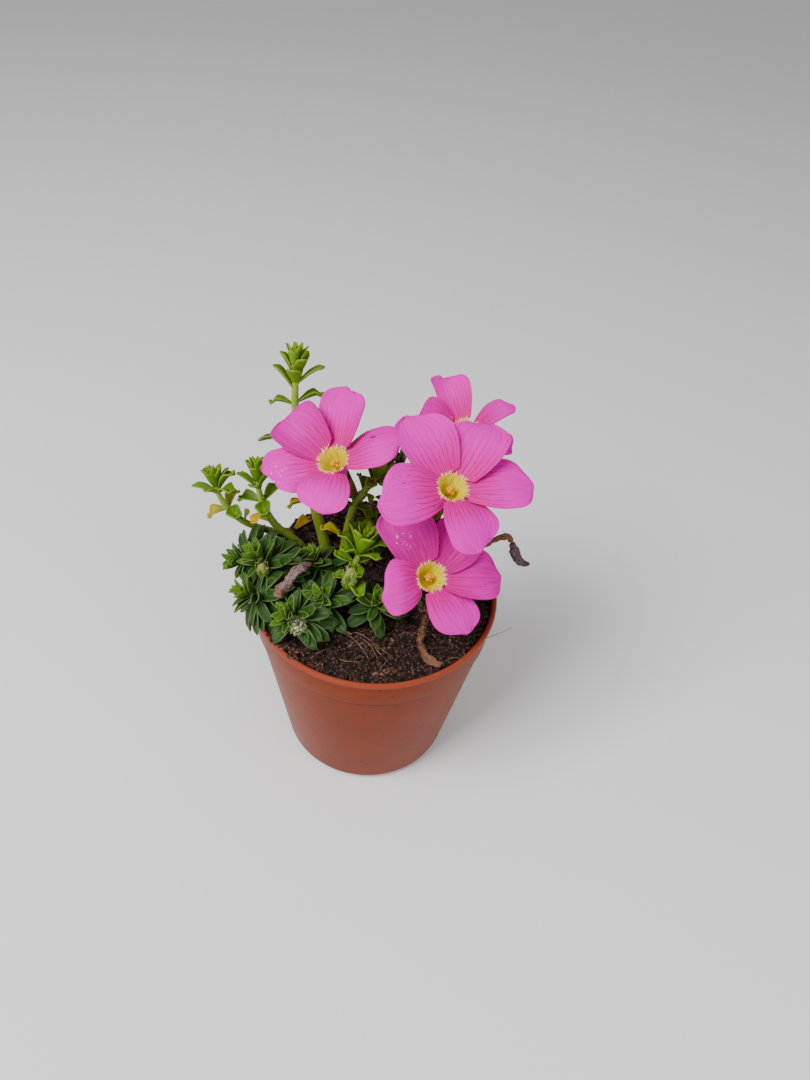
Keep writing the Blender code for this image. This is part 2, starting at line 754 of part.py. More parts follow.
def rosette(name, root, neck, head, count, turn, length, width=2.9):
    """A dark rosette of narrow leaves on a short stem, lowest and longest leaves outermost."""
    lowest, topmost = length
    leaves = spiral(0.45, 0.99, count, turn, (98, 10), (lowest, topmost), (width, width * 0.6))
    return Shoot(name, "dark green", root, [neck, head], [0.9, 0.85, 0.75, 0.5], leaves)


def rosettes():
    """The dark rosettes: the clump at the left, and those between and behind the blooms."""
    return [
        rosette("rosette_left", (-17.0, -3.0), (-21.5, -3.8, 53.5), (-25.0, -4.8, 58.6), 17, 25, (8.4, 4.2)),
        rosette("rosette_outer_left", (-20.0, 2.5), (-25.5, 0.5, 52.6), (-29.8, -2.6, 54.6), 13, 70, (7.8, 4.0)),
        rosette("rosette_low_left", (-19.0, -8.5), (-22.5, -9.2, 50.6), (-26.2, -10.2, 52.8), 13, 10, (8.2, 4.2)),
        rosette("rosette_front_left", (-12.5, -12.0), (-14.5, -14.0, 50.5), (-16.4, -15.8, 53.4), 14, 50, (8.0, 4.0)),
        rosette("rosette_inner", (-11.0, -1.0), (-12.5, -0.8, 52.0), (-13.8, -0.8, 55.6), 12, 5, (7.0, 3.6)),
        rosette("rosette_centre", (-9.0, -7.5), (-9.6, -9.4, 50.6), (-10.7, -11.0, 54.0), 14, 35, (8.2, 4.0)),
        rosette("rosette_front", (0.5, -7.5), (0.9, -8.8, 50.6), (1.2, -10.0, 53.8), 12, 80, (7.4, 3.6)),
        rosette("rosette_behind", (-2.5, 6.5), (-1.8, 6.4, 56.0), (-1.3, 5.6, 63.2), 11, 15, (6.6, 3.4), 2.3),
    ]


def flower_stems():
    """Leafy stems that carry the blooms at the right and stand behind them."""
    narrow = (2.4, 1.6)
    return [
        Shoot("stem_tall_dark", "dark green", (4.0, 9.5),
              [(3.7, 10.6, 62.0), (3.1, 12.0, 76.4)], [1.0, 0.95, 0.8, 0.5],
              spiral(0.35, 0.99, 14, 0, (80, 14), (6.4, 4.0), narrow)),
        Shoot("stem_right", "dark green", (9.5, 3.4),
              [(10.4, 3.2, 58.0), (10.9, 2.9, 64.0)], [0.95, 0.9, 0.8, 0.6],
              spiral(0.35, 0.97, 9, 40, (84, 34), (6.4, 4.6), narrow)),
        Shoot("stem_low_right", "dark green", (7.0, -1.0),
              [(7.3, -2.0, 49.9), (7.5, -2.5, 50.6)], [0.8, 0.75, 0.7],
              spiral(0.25, 0.9, 5, 120, (84, 60), (5.6, 4.6), narrow)),
        Shoot("stem_back_right", "dark green", (13.5, 13.5),
              [(15.0, 16.0, 57.0), (17.0, 18.3, 64.0)], [0.95, 0.9, 0.8, 0.6],
              spiral(0.3, 0.97, 9, 75, (84, 34), (6.4, 4.4), narrow)),
    ]


def withered_pieces():
    """Spent blooms and dry stalks: name, colour, points along them and their thickness."""
    def on_soil(x, y, lift):
        return (x, y, soil_height(x, y) + lift)
    return [
        ("spent_bloom_left", "withered brown",
         [(-14.0, -3.6, 56.6), (-15.6, -6.4, 58.2), (-17.6, -9.4, 56.4), (-19.2, -12.2, 55.2)],
         [0.5, 1.0, 1.25, 0.7, 0.45]),
        ("withered_stalk_right", "withered brown",
         [(14.5, 4.5, soil_height(14.5, 4.5) + 0.4), (19.0, 2.6, 57.6), (23.7, 1.2, 63.8), (26.4, 1.0, 66.2),
          (28.2, 0.9, 65.0)], [0.7, 0.6, 0.7, 0.85, 0.6]),
        ("withered_bloom_right", "withered purple",
         [(28.6, 0.9, 64.3), (30.2, 0.9, 62.2), (32.0, 0.8, 59.8), (32.6, 0.8, 58.4)], [0.6, 1.15, 1.1, 0.5]),
        ("dry_stalk_front", "withered brown",
         [(11.4, -8.6, 52.6), (11.6, -12.0, 50.6), on_soil(12.2, -15.4, 1.9), on_soil(14.0, -18.8, 1.6),
          on_soil(15.4, -19.6, 1.5)], [0.8, 1.05, 1.1, 1.15, 0.7]),
        ("spent_bloom_middle", "withered purple",
         [on_soil(1.6, -2.6, 0.7), (0.9, -3.0, 52.2), (0.2, -3.4, 55.0), (-0.3, -3.9, 56.8)],
         [0.45, 0.5, 1.3, 1.2, 0.5]),
    ]


def faded_leaves(shoots, room):
    """Yellowed and withered leaves that still hang on the stems, and one that lies on the soil."""
    by_name = {shoot.name: shoot for shoot in shoots}
    hanging = [
        ("faded_leaf_middle", "shoot_middle", 0.22, 175, 62, 4.6, 3.0, "yellowed leaf"),
        ("faded_leaf_left", "shoot_left", 0.54, 250, 80, 4.0, 2.6, "yellowed leaf"),
        ("faded_leaf_far_left", "shoot_far_left", 0.36, 255, 80, 4.2, 2.8, "yellowed leaf"),
        ("faded_leaf_back_left", "shoot_back_left", 0.22, 190, 84, 4.2, 2.8, "yellowed leaf"),
        ("withered_leaf_back_left", "shoot_back_left", 0.28, 175, 66, 4.8, 2.4, "withered brown"),
    ]
    for name, bearer, at, turn, spread, length, width, colour in hanging:
        shoot = by_name[bearer]
        root, aim, face, axis = leaf_frame(shoot.path, shoot.radii, at, turn, spread)
        outward = (aim - axis * aim.dot(axis)).normalized()
        root = root + outward * (along(shoot.radii, at) * 0.65 + GAP + 0.1)
        shape = placed_leaf(room, name, root, aim, face, axis, length, width, "heart")
        if shape:
            new_object(name, shape, colour)
    stalk_end, tip = [Vector((x, y, soil_height(x, y) + lift)) for x, y, lift in FALLEN_LEAF]
    aim = (tip - stalk_end).normalized()
    across = aim.cross(Vector((0, 0, 1))).normalized()
    lying = leaflet(stalk_end, aim, across.cross(aim), (tip - stalk_end).length, 3.0, "heart", fold=0.1)
    room.add("fallen_leaf", lying)
    new_object("fallen_leaf", lying, "yellowed leaf")


def build():
    clear_scene()
    room = Room()
    pot = build_pot()
    for bloom in BLOOMS:
        bloom.build_petals(room)
        bloom.build_stamens()
    tall = tall_shoots()
    low = rosettes()
    bearing = flower_stems()
    bearers = (tall[3], bearing[1], bearing[2], bearing[3])
    for bloom, bearer in zip(BLOOMS, bearers):
        start = bearer.path[-1] if bearer is not tall[3] else bearer.path[PATH_STEPS * 2]
        for shape in bloom.calyx(start):
            bearer.bear(shape)
    tall[4].bear(bud((-5.2, -8.4, 56.2), (-4.6, -9.0, 62.2), 1.6))
    low[0].bear(bud((-23.6, -6.4, 54.6), (-23.4, -8.2, 60.0), 1.3))
    low[3].bear(bud((-14.8, -16.6, 51.0), (-14.4, -18.4, 54.0), 1.7))
    shoots = tall + bearing + low
    for shoot in shoots:
        shoot.claim(room)
    room.add_object(build_soil([(shoot.root[0], shoot.root[1], max(shoot.radii[:2])) for shoot in shoots]))
    room.add_object(pot)
    for name, colour, points, radii in withered_pieces():
        shape = stem(smooth_path(points), radii)
        room.add(name, shape)
        new_object(name, shape, colour)
    faded_leaves(shoots, room)
    for shoot in shoots:
        shoot.grow_leaves(room)
    for shoot in shoots:
        shoot.build()


build()
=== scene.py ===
# Pot-grown wood sorrel: the fine surfaces, their finishes, and the floor, lights and camera.
# Sizes and places below are millimetres, as in the solids. MM turns them into metres.

import json
import math
import random

import bmesh
import bpy
from mathutils import Matrix, Vector, noise
from mathutils.bvhtree import BVHTree

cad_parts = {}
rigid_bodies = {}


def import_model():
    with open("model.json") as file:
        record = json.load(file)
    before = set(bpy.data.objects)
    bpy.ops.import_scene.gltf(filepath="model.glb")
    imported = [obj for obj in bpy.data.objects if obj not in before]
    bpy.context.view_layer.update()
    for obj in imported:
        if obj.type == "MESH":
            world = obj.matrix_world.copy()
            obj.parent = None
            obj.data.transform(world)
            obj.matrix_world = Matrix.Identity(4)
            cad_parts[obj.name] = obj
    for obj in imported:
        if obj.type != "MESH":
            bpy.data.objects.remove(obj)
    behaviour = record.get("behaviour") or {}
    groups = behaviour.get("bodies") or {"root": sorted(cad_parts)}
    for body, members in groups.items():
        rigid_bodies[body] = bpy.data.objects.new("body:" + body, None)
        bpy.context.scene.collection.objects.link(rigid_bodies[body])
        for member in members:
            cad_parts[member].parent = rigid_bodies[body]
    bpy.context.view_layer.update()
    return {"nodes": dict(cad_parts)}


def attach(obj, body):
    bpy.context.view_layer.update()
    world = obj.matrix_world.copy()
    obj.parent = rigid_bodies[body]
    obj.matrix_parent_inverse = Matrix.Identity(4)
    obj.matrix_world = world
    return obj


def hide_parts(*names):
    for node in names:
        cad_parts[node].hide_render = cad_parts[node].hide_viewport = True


for item in list(bpy.data.objects):
    bpy.data.objects.remove(item, do_unlink=True)
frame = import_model()

MM = 0.001
GAP = 0.3
EAST, NORTH = Vector((1, 0, 0)), Vector((0, 1, 0))
GOLDEN_ANGLE = math.radians(137.5)
chance = random.Random(11)

# Pot
POT_HEIGHT = 48.0
POT_RIM_RADIUS = 27.5
POT_WALL = 0.9
COLLAR_HEIGHT = 7.9
COLLAR_FOOT = POT_HEIGHT - COLLAR_HEIGHT
COLLAR_STEP = 0.4
LIP_HEIGHT = 1.2
LIP_PROUD = 0.3
# The collar's outer face and the rolled lip: how far each corner is in from the rim, and down from it
COLLAR_AND_LIP = (
    (LIP_PROUD + 0.03, LIP_HEIGHT + 0.3), (LIP_PROUD, LIP_HEIGHT), (0.08, LIP_HEIGHT - 0.12),
    (0.0, LIP_HEIGHT - 0.35), (0.0, 0.4), (0.14, 0.12), (0.38, 0.0), (0.72, 0.0), (1.0, 0.2),
)
POT_BASE_RADIUS = 19.8
BASE_ROUNDING = 2.4
POT_FLOOR = 1.2
POT_STEPS = 128
DRAIN_HOLES = 6
DRAIN_HOLE_RADIUS = 2.0
DRAIN_RING_RADIUS = 12.5

# Soil
SOIL_LEVEL = 46.7
MOUND_RISE = 6.2
EDGE_FALL = 0.45
EDGE_WIDTH = 3.5
MOUND_TOWARDS = Vector((-0.68, 0.73))
MOUND_START = -8.0
MOUND_SPAN = 34.0
CRUMB_HEIGHT = 0.55
CRUMB_SCALE = 0.33
SOIL_WALL_GAP = 0.35
SOIL_STEPS = 240
SOIL_RING = 0.36
HOLE_DEPTH = 7.0

# Litter on the soil: how flat and long each lump is, then how many are strewn, and from what size to what
CRUMB_FORMS = ((0.7, 1.3), (0.5, 1.8), (0.35, 1.3))
CRUMBS_STREWN = (1700, 0.45, 1.9)
CHIPS_STREWN = (260, 0.6, 2.7)
GRIT_STREWN = (90, 0.2, 0.45)
SPILLED_CRUMBS = 90
SPILL_RADII = (24.4, 27.2)
SPILL_TOWARDS = 228
SPILL_SPREAD = 7
SPILL_CLIMB = 0.9
STRAY_FIBRES = 110

# Blooms
THROAT_RADIUS = 3.1
TUBE_LENGTH = 12.6
TUBE_RADIUS = 0.6
CUP_DEPTH = 4.6
PETAL_THICKNESS = 0.3
PETAL_TWIST = 0.2
PETAL_ROOT = 0.4
PETAL_FOOT_WIDTH = 0.56
PETAL_TIP_WIDTH = 0.16
PETAL_BELLY = 0.56
PETAL_SKEW = 0.95
NO_MARK = (50.0, 50.0, 0.0)
CALYX_RADIUS = 1.25
SEPAL_LENGTH = 6.6
SEPAL_TILT = math.radians(5)
SEPAL_WIDTH = 2.6
SEPALS = 5
ANTHERS = 5
ANTHER_RING = 0.58
ANTHER_RADIUS = 0.5
ANTHER_HEIGHT = -1.7
STIGMA_HEIGHT = -1.2
# From the foot of the tube up its outside, over the throat's edge and down into the cup
FUNNEL_PROFILE = (
    (0.0, -TUBE_LENGTH), (TUBE_RADIUS, -TUBE_LENGTH), (TUBE_RADIUS + 0.15, -8.6), (1.0, -7.2),
    (1.35, -5.8), (1.85, -4.2), (2.4, -2.5), (2.95, -1.1), (THROAT_RADIUS + 0.2, -0.3),
    (THROAT_RADIUS - 0.1, 0.0), (THROAT_RADIUS - 0.5, -0.55), (2.15, -1.7), (1.7, -2.9), (1.3, -3.9),
    (1.0, -CUP_DEPTH + 0.1), (0.0, -CUP_DEPTH),
)

# Leaves
TIP_DROOP = 0.13
LEAF_FOLD = 0.42
# Where along a solid's leaf its edges are marked, and the share of its width there
LEAF_STATIONS = {
    "narrow": ((0.40, 0.94), (0.76, 0.84)),
    "slim": ((0.55, 1.0),),
    "heart": ((0.70, 1.0), (1.0, 0.62)),
}
LEAF_ROOT = 0.35
LEAF_SIZES = (1.0, 0.82, 0.66)
BEND_STEP = math.radians(13)
SWING_STEP = math.radians(15)
BEND_AMOUNTS = (1, 2, 3)
# The heads of the tall shoots lean back by this
HEAD_LEAN = 0.32
# Below this place up their stems, some leaves of two shoots have turned yellowish
FADED_BELOW = {"shoot_far_left": 0.72, "shoot_left": 0.5}
FADED_SHARE = 0.45
# A leaf of the solids is found where its marks lie this close to their surface
FOUND_WITHIN = 0.2
FALLEN_LEAF = ((-19.6, 10.6, 0.65), (-16.6, 14.8, 1.2))
# The shade painted where a finish needs no change over the piece: age, luck and fading
MIDDLE_SHADE = (0.5, 0.5, 0.0)

# Stems
PATH_STEPS = 2
FINE_STEPS = 5
STEM_ABOVE_SOIL = 0.8
STALK_RADII = (0.62, 0.6)
STEM_LEAF_WIDTHS = (2.4, 1.6)
# A skirt's rings: place up the stem, turn and spread, and shares of the rosette's length and width
SKIRT_RINGS = ((0.44, 12, 116, 0.95, 1.0), (0.62, 40, 106, 1.0, 0.95), (0.78, 20, 98, 1.0, 0.95))
# A bud's outline: shares of its radius and of its length
BUD_PROFILE = ((0.0, 0.0), (0.45, 0.02), (0.86, 0.2), (0.98, 0.38), (0.96, 0.52), (0.72, 0.74),
               (0.36, 0.92), (0.0, 1.0))

# Lights, in metres and watts, and the camera: its axes to the right, up and back
SKY_STRENGTH = 0.42
LAMPS = (("window", (-0.28, -0.24, 0.50), 0.30, 4.4), ("fill", (0.35, -0.30, 0.30), 0.45, 1.1))
LENS_LENGTH = 27.03
CAMERA_PLACE = (5.616, -124.926, 180.399)
CAMERA_AXES = ((0.99488, 0.06918, 0.07367), (-0.10106, 0.68104, 0.72524), (0.0, -0.72897, 0.68455))


# Shader sums, and the nodes behind a finish

class Value:
    """A number or a vector that runs through a material, written in sums."""

    def __init__(self, finish, socket):
        self.finish = finish
        self.socket = socket

    def through(self, operation, *others):
        return self.finish.value("Math", {"operation": operation}, [self, *others])

    def __add__(self, other):
        return self.through("ADD", other)

    def __sub__(self, other):
        return self.through("SUBTRACT", other)

    def __rsub__(self, other):
        return (self * -1.0).through("ADD", other)

    def __mul__(self, other):
        return self.through("MULTIPLY", other)

    def __truediv__(self, other):
        return self.through("DIVIDE", other)

    def __abs__(self):
        return self.through("ABSOLUTE")

    def wave(self):
        return self.through("SINE")

    def root(self):
        return self.through("SQRT")

    def rise(self, low, high):
        """0 below low, 1 above high, and smooth between them."""
        return self.finish.value("MapRange", {"interpolation_type": "SMOOTHSTEP"},
                                 {"Value": self, "From Min": low, "From Max": high})

    def parts(self):
        node = self.finish.node("SeparateXYZ", {}, [self])
        return [Value(self.finish, output) for output in node.outputs]

    __radd__ = __add__
    __rmul__ = __mul__


class Finish:
    """A material made of nodes round one Principled shader."""

    def __init__(self, name, roughness=0.5, constants=None):
        self.material = bpy.data.materials.new(name)
        self.material.use_nodes = True
        self.tree = self.material.node_tree
        self.shader = self.tree.nodes["Principled BSDF"]
        self.shader.inputs["Roughness"].default_value = roughness
        for socket, value in (constants or {}).items():
            self.shader.inputs[socket].default_value = value

    def node(self, kind, settings, values):
        made = self.tree.nodes.new("ShaderNode" + kind)
        for key, value in settings.items():
            if key == "stops":
                self.set_stops(made, value)
            else:
                setattr(made, key, value)
        pairs = values.items() if isinstance(values, dict) else enumerate(values)
        for key, value in pairs:
            if isinstance(value, Value):
                self.tree.links.new(value.socket, made.inputs[key])
            elif value is not None:
                made.inputs[key].default_value = value
        return made

    def set_stops(self, ramp, stops):
        marks = ramp.color_ramp.elements
        while len(marks) < len(stops):
            marks.new(0.5)
        for mark, (place, colour) in zip(marks, stops):
            mark.position = place
            mark.color = (*colour, 1.0)

    def value(self, kind, settings, values, output=0):
        return Value(self, self.node(kind, settings, values).outputs[output])

    def attribute(self, name):
        return self.value("Attribute", {"attribute_name": name}, [], "Vector")

    def place(self):
        """Where a point is on the object, in millimetres."""
        return self.value("VectorMath", {"operation": "SCALE"},
                          {"Vector": self.value("TexCoord", {}, [], "Object"), "Scale": 1.0 / MM})

    def spread(self):
        """Across and along on the piece's own map."""
        return self.value("TexCoord", {}, [], "UV").parts()[:2]

    def point(self, x, y, z):
        return self.value("CombineXYZ", {}, [x, y, z])

    def noise(self, where, scale, detail=3.0, roughness=0.55):
        return self.value("TexNoise", {}, {"Vector": where, "Scale": scale, "Detail": detail,
                                           "Roughness": roughness}, "Fac")

    def cells(self, where, scale):
        """How far a point is from its cell's middle, and its cell's own colour."""
        node = self.node("TexVoronoi", {}, {"Vector": where, "Scale": scale})
        return [Value(self, node.outputs[name]) for name in ("Distance", "Color")]

    def ramp(self, value, stops):
        return self.value("ValToRGB", {"stops": stops}, [value])

    def mix(self, share, first, second):
        """The first colour where the share is 0, the second where it is 1."""
        first, second = [given if isinstance(given, Value) else (*given, 1.0) for given in (first, second)]
        return self.value("Mix", {"data_type": "RGBA"}, {"Factor": share, 6: first, 7: second}, 2)

    def bump(self, height, strength, depth):
        node = self.node("Bump", {}, {"Strength": strength, "Distance": depth * MM, "Height": height})
        self.tree.links.new(node.outputs[0], self.shader.inputs["Normal"])

    def over(self, share, colour):
        """Lay a colour over the base, by a share from 0 to 1."""
        self.base = self.mix(share, self.base, colour)

    def set(self, socket, value):
        self.tree.links.new(value.socket, self.shader.inputs[socket])

    def done(self):
        self.set("Base Color", self.base)
        return self


# Selecting and changing meshes

def deselect_all():
    bpy.ops.object.select_all(action="DESELECT")


def make_active(piece):
    deselect_all()
    piece.select_set(True)
    bpy.context.view_layer.objects.active = piece


def edit(piece):
    make_active(piece)
    bpy.ops.object.mode_set(mode="EDIT")


def leave_edit():
    bpy.ops.object.mode_set(mode="OBJECT")


def primitive(name, add, **settings):
    """A new primitive with its place in its mesh."""
    deselect_all()
    add(**settings)
    piece = bpy.context.object
    piece.name = name
    bpy.ops.object.transform_apply(location=True, rotation=False, scale=False)
    return piece


def select_points(piece, test):
    mesh = bmesh.from_edit_mesh(piece.data)
    for vertex in mesh.verts:
        vertex.select = test(vertex.co)
    mesh.select_flush_mode()
    bmesh.update_edit_mesh(piece.data)


def move_points(piece, test, by):
    select_points(piece, test)
    bpy.ops.transform.translate(value=by)


def apply_modifier(piece, kind, **settings):
    make_active(piece)
    change = piece.modifiers.new(kind.lower(), kind)
    for key, value in settings.items():
        setattr(change, key, value)
    bpy.ops.object.modifier_apply(modifier=change.name)


def shade_smooth(piece, angle=None):
    make_active(piece)
    if angle is None:
        bpy.ops.object.shade_smooth()
    else:
        bpy.ops.object.shade_smooth_by_angle(angle=math.radians(angle))


def joined(name, members):
    deselect_all()
    for member in members:
        member.select_set(True)
    bpy.context.view_layer.objects.active = members[0]
    if len(members) > 1:
        bpy.ops.object.join()
    members[0].name = name
    return members[0]


def paint(piece, name, value):
    """Give every point of a piece the same vector, which its finish reads."""
    paint_points(piece, name, [value] * len(piece.data.vertices))


def paint_points(piece, name, values):
    layer = piece.data.attributes.new(name, "FLOAT_VECTOR", "POINT")
    layer.data.foreach_set("vector", [number for value in values for number in value])


def shaded(piece, shade, *finishes):
    """Paint the shade, (age, luck, faded) or (run, 0.5, 0.0), and give the finishes that read it."""
    paint(piece, "shade", shade)
    return give_finish(piece, *finishes)


def give_finish(piece, *finishes):
    piece.data.materials.clear()
    for finish in finishes:
        piece.data.materials.append(finish.material)
    return piece


def new_object(name, data):
    made = bpy.data.objects.new(name, data)
    bpy.context.scene.collection.objects.link(made)
    return made


def copy_of(pattern, matrix):
    mesh = pattern.data.copy()
    mesh.transform(matrix)
    return new_object(pattern.name, mesh)


def remove(patterns):
    for pattern in patterns:
        bpy.data.objects.remove(pattern, do_unlink=True)


def stand_for(piece, slot, *nodes):
    """The piece rides on the pot's body and stands for the solids that it refines."""
    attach(piece, "root")
    if nodes:
        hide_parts(*nodes)


def frame_matrix(right, ahead, up, place):
    """A matrix from a piece's own millimetres to its place on the object, in metres."""
    turned = Matrix((right, ahead, up)).transposed().to_4x4()
    return Matrix.Translation(Vector(place) * MM) @ Matrix.Scale(MM, 4) @ turned


# Curves

def smooth_path(points, steps=3):
    """Points along one smooth curve through the given points (Catmull-Rom)."""
    given = [Vector(p) for p in points]
    ends = [given[0] * 2 - given[1]] + given + [given[-1] * 2 - given[-2]]
    curve = []
    for a, b, c, d in zip(ends, ends[1:], ends[2:], ends[3:]):
        for step in range(steps):
            t = step / steps
            square, cube = t * t, t * t * t
            curve.append(((b * 2) + (c - a) * t + (a * 2 - b * 5 + c * 4 - d) * square
                          + (b * 3 - a - c * 3 + d) * cube) * 0.5)
    curve.append(given[-1])
    return curve


def along(values, t):
    """The value a share t of the way through a list of values."""
    before, after, share = stretch(values, t)
    return before * (1 - share) + after * share


def side_vectors(direction):
    across = direction.cross(NORTH)
    if across.length < 0.1:
        across = direction.cross(EAST)
    across.normalize()
    return across, direction.cross(across)


def spoke_at(angle, across, up):
    return across * math.cos(angle) + up * math.sin(angle)


def any_angle():
    return chance.uniform(0, math.tau)


def stretch(path, t):
    """The stretch of a path a share t of the way along it: its ends, and the share of it done."""
    place = t * (len(path) - 1)
    first = min(int(place), len(path) - 2)
    return path[first], path[first + 1], place - first


def tube(name, points, radii, resolution=3):
    """A round stem through the points; its radius runs through the given radii."""
    line = bpy.data.curves.new(name, "CURVE")
    line.dimensions = "3D"
    line.bevel_depth = MM
    line.bevel_resolution = resolution
    line.use_fill_caps = True
    run = line.splines.new("POLY")
    run.points.add(len(points) - 1)
    for i, point in enumerate(points):
        run.points[i].co = (*(Vector(point) * MM), 1.0)
        run.points[i].radius = along(radii, i / (len(points) - 1))
    make_active(new_object(name, line))
    bpy.ops.object.convert(target="MESH")
    piece = bpy.context.object
    shade_smooth(piece, 60)
    return piece


def turned(name, profile, steps, matrix=None, smooth=40):
    """Spin a line of (radius, height) pairs about its own axis into a closed shape."""
    mesh = bpy.data.meshes.new(name)
    points = [(radius, 0.0, height) for radius, height in profile]
    mesh.from_pydata(points, [(i, i + 1) for i in range(len(points) - 1)], [])
    piece = new_object(name, mesh)
    edit(piece)
    bpy.ops.mesh.select_all(action="SELECT")
    bpy.ops.mesh.spin(steps=steps, angle=math.tau, center=(0, 0, 0), axis=(0, 0, 1))
    bpy.ops.mesh.select_all(action="SELECT")
    bpy.ops.mesh.remove_doubles(threshold=0.001)
    bpy.ops.mesh.normals_make_consistent(inside=False)
    leave_edit()
    piece.data.transform(matrix or Matrix.Scale(MM, 4))
    shade_smooth(piece, smooth)
    return piece


# Finishes

def pot_finish():
    finish = Finish("terracotta plastic", 0.45, {"Specular IOR Level": 0.08})
    where = finish.place()
    height = where.parts()[2]
    fine = finish.noise(where, 2.2, 4.0)
    specks = finish.noise(where, 0.75, 5.0, 0.7)
    dirt = specks.rise(0.66, 0.72) * fine.rise(0.4, 0.6)
    dots = 1.0 - (finish.cells(where, 0.3)[0] + fine * 0.08).rise(0.12, 0.17)
    # Painted shade: a dark line round the foot of the collar, under its step.
    collar_step_shade = (1.0 - abs(height - (COLLAR_FOOT - 0.1)).rise(0.25, 0.7)) * 0.8
    # Painted highlight: a lighter band round the top of the rim, where light catches the lip.
    rim_highlight = height.rise(POT_HEIGHT - 1.3, POT_HEIGHT - 0.6)
    dust = finish.noise(where, 0.3, 4.0).rise(0.56, 0.8) * height.rise(25.0, 48.0)
    cloud = finish.noise(where, 0.09, 2.0)
    finish.base = finish.ramp(cloud, ((0.35, (0.168, 0.019, 0.0)), (0.65, (0.190, 0.023, 0.0))))
    # Painted highlight along the rim's top.
    finish.over(rim_highlight * 0.7, (0.32, 0.062, 0.032))
    finish.over(dust * 0.18, (0.30, 0.14, 0.09))
    finish.over(dirt * 0.85, (0.06, 0.018, 0.010))
    finish.over(dots * 0.8, (0.045, 0.014, 0.008))
    # Painted shade under the collar's step.
    finish.over(collar_step_shade, (0.075, 0.010, 0.001))
    finish.set("Roughness", fine * 0.15 + dirt * 0.3 + dust * 0.2 + 0.3)
    finish.bump(fine * 0.5 + specks, 0.25, 0.08)
    return finish.done()


def soil_finish(name, dark, light):
    """Damp crumbs, each of its own brown, with painted shade darkening the gaps between them, and a few pale
    specks of painted highlight.
    """
    finish = Finish(name, 0.92, {"Specular IOR Level": 0.3})
    where = finish.place()
    gap, tint = finish.cells(where, 1.9)
    cloud = finish.noise(where, 0.6, 4.0)
    painted_glint = finish.noise(where, 3.7, 2.0).rise(0.72, 0.77)
    finish.base = finish.mix((tint.parts()[0] * 0.6 + cloud * 0.8).rise(0.52, 0.98), dark, light)
    # Painted shade: the gaps between the crumbs darkened nearly to black.
    finish.over(gap.rise(0.25, 0.70) * 0.85, (0.009, 0.004, 0.003))
    # Painted highlight: small pale specks laid into the colour, where the roughness also drops.
    finish.over(painted_glint * 0.5, (0.40, 0.30, 0.26))
    finish.set("Roughness", 0.95 - painted_glint * 0.5)
    finish.bump(finish.noise(where, 3.0, 5.0, 0.7) + gap * -0.6, 0.9, 0.35)
    return finish.done()


def lay_marks(finish):
    """The photograph's marks on single petals: a dark spot, grey strokes or pale specks."""
    out, aside, kind = finish.attribute("mark").parts()
    ragged = finish.noise(finish.point(out, aside, kind * 5.0), 1.8, 3.0)
    oval = (out * out * 1.5 + aside * aside * 9.0 + ragged * 0.6).root()
    near = 1.0 - (out * out + aside * aside).root().rise(1.2, 3.2)
    strokes = finish.noise(finish.point(out * 0.7, aside * 2.6, 1.0), 1.3, 3.0).rise(0.56, 0.64)
    specks = finish.noise(finish.point(out, aside, 3.0), 2.1, 1.0).rise(0.66, 0.70)
    past_spot = kind.rise(0.4, 0.6)
    past_strokes = kind.rise(1.4, 1.6)
    finish.over((1.0 - oval.rise(0.85, 1.15)) * (1.0 - past_spot) * 0.8, (0.22, 0.0, 0.03))
    finish.over(strokes * near * past_spot * (1.0 - past_strokes) * 0.7, (0.16, 0.05, 0.22))
    finish.over(specks * near * past_strokes * 0.85, (0.90, 0.62, 0.80))


def lay_throat(finish, x, y, radius):
    """The yellow throat: greenish rays inside, a lighter yellow painted deep in the cup against the funnel's
    shade, and a fringed edge.
    """
    ray = finish.point(x / radius * 4.6, y / radius * 4.6, radius * 0.12)
    streak = finish.noise(ray, 2.4, 2.0, 0.4)
    reach = radius - streak.rise(0.34, 0.66) * 0.8
    throat = (1.0 - reach.rise(2.3, 3.0)) * (1.0 - radius.rise(2.9, 3.8) * 0.5)
    deep = 1.0 - radius.rise(1.0, 2.5)
    rays = streak.rise(0.52, 0.60) * radius.rise(1.0, 1.8) * (1.0 - radius.rise(2.4, 3.0))
    yellow = finish.mix(radius.rise(2.6, 3.4), (0.76, 0.60, 0.0), (0.92, 0.78, 0.20))
    yellow = finish.mix(rays * 0.6, yellow, (0.30, 0.25, 0.0))
    # Painted light: the yellow lifted deep in the cup, where the funnel's shade falls.
    yellow = finish.mix(deep * 0.6, yellow, (0.82, 0.66, 0.0))
    finish.over(throat, yellow)


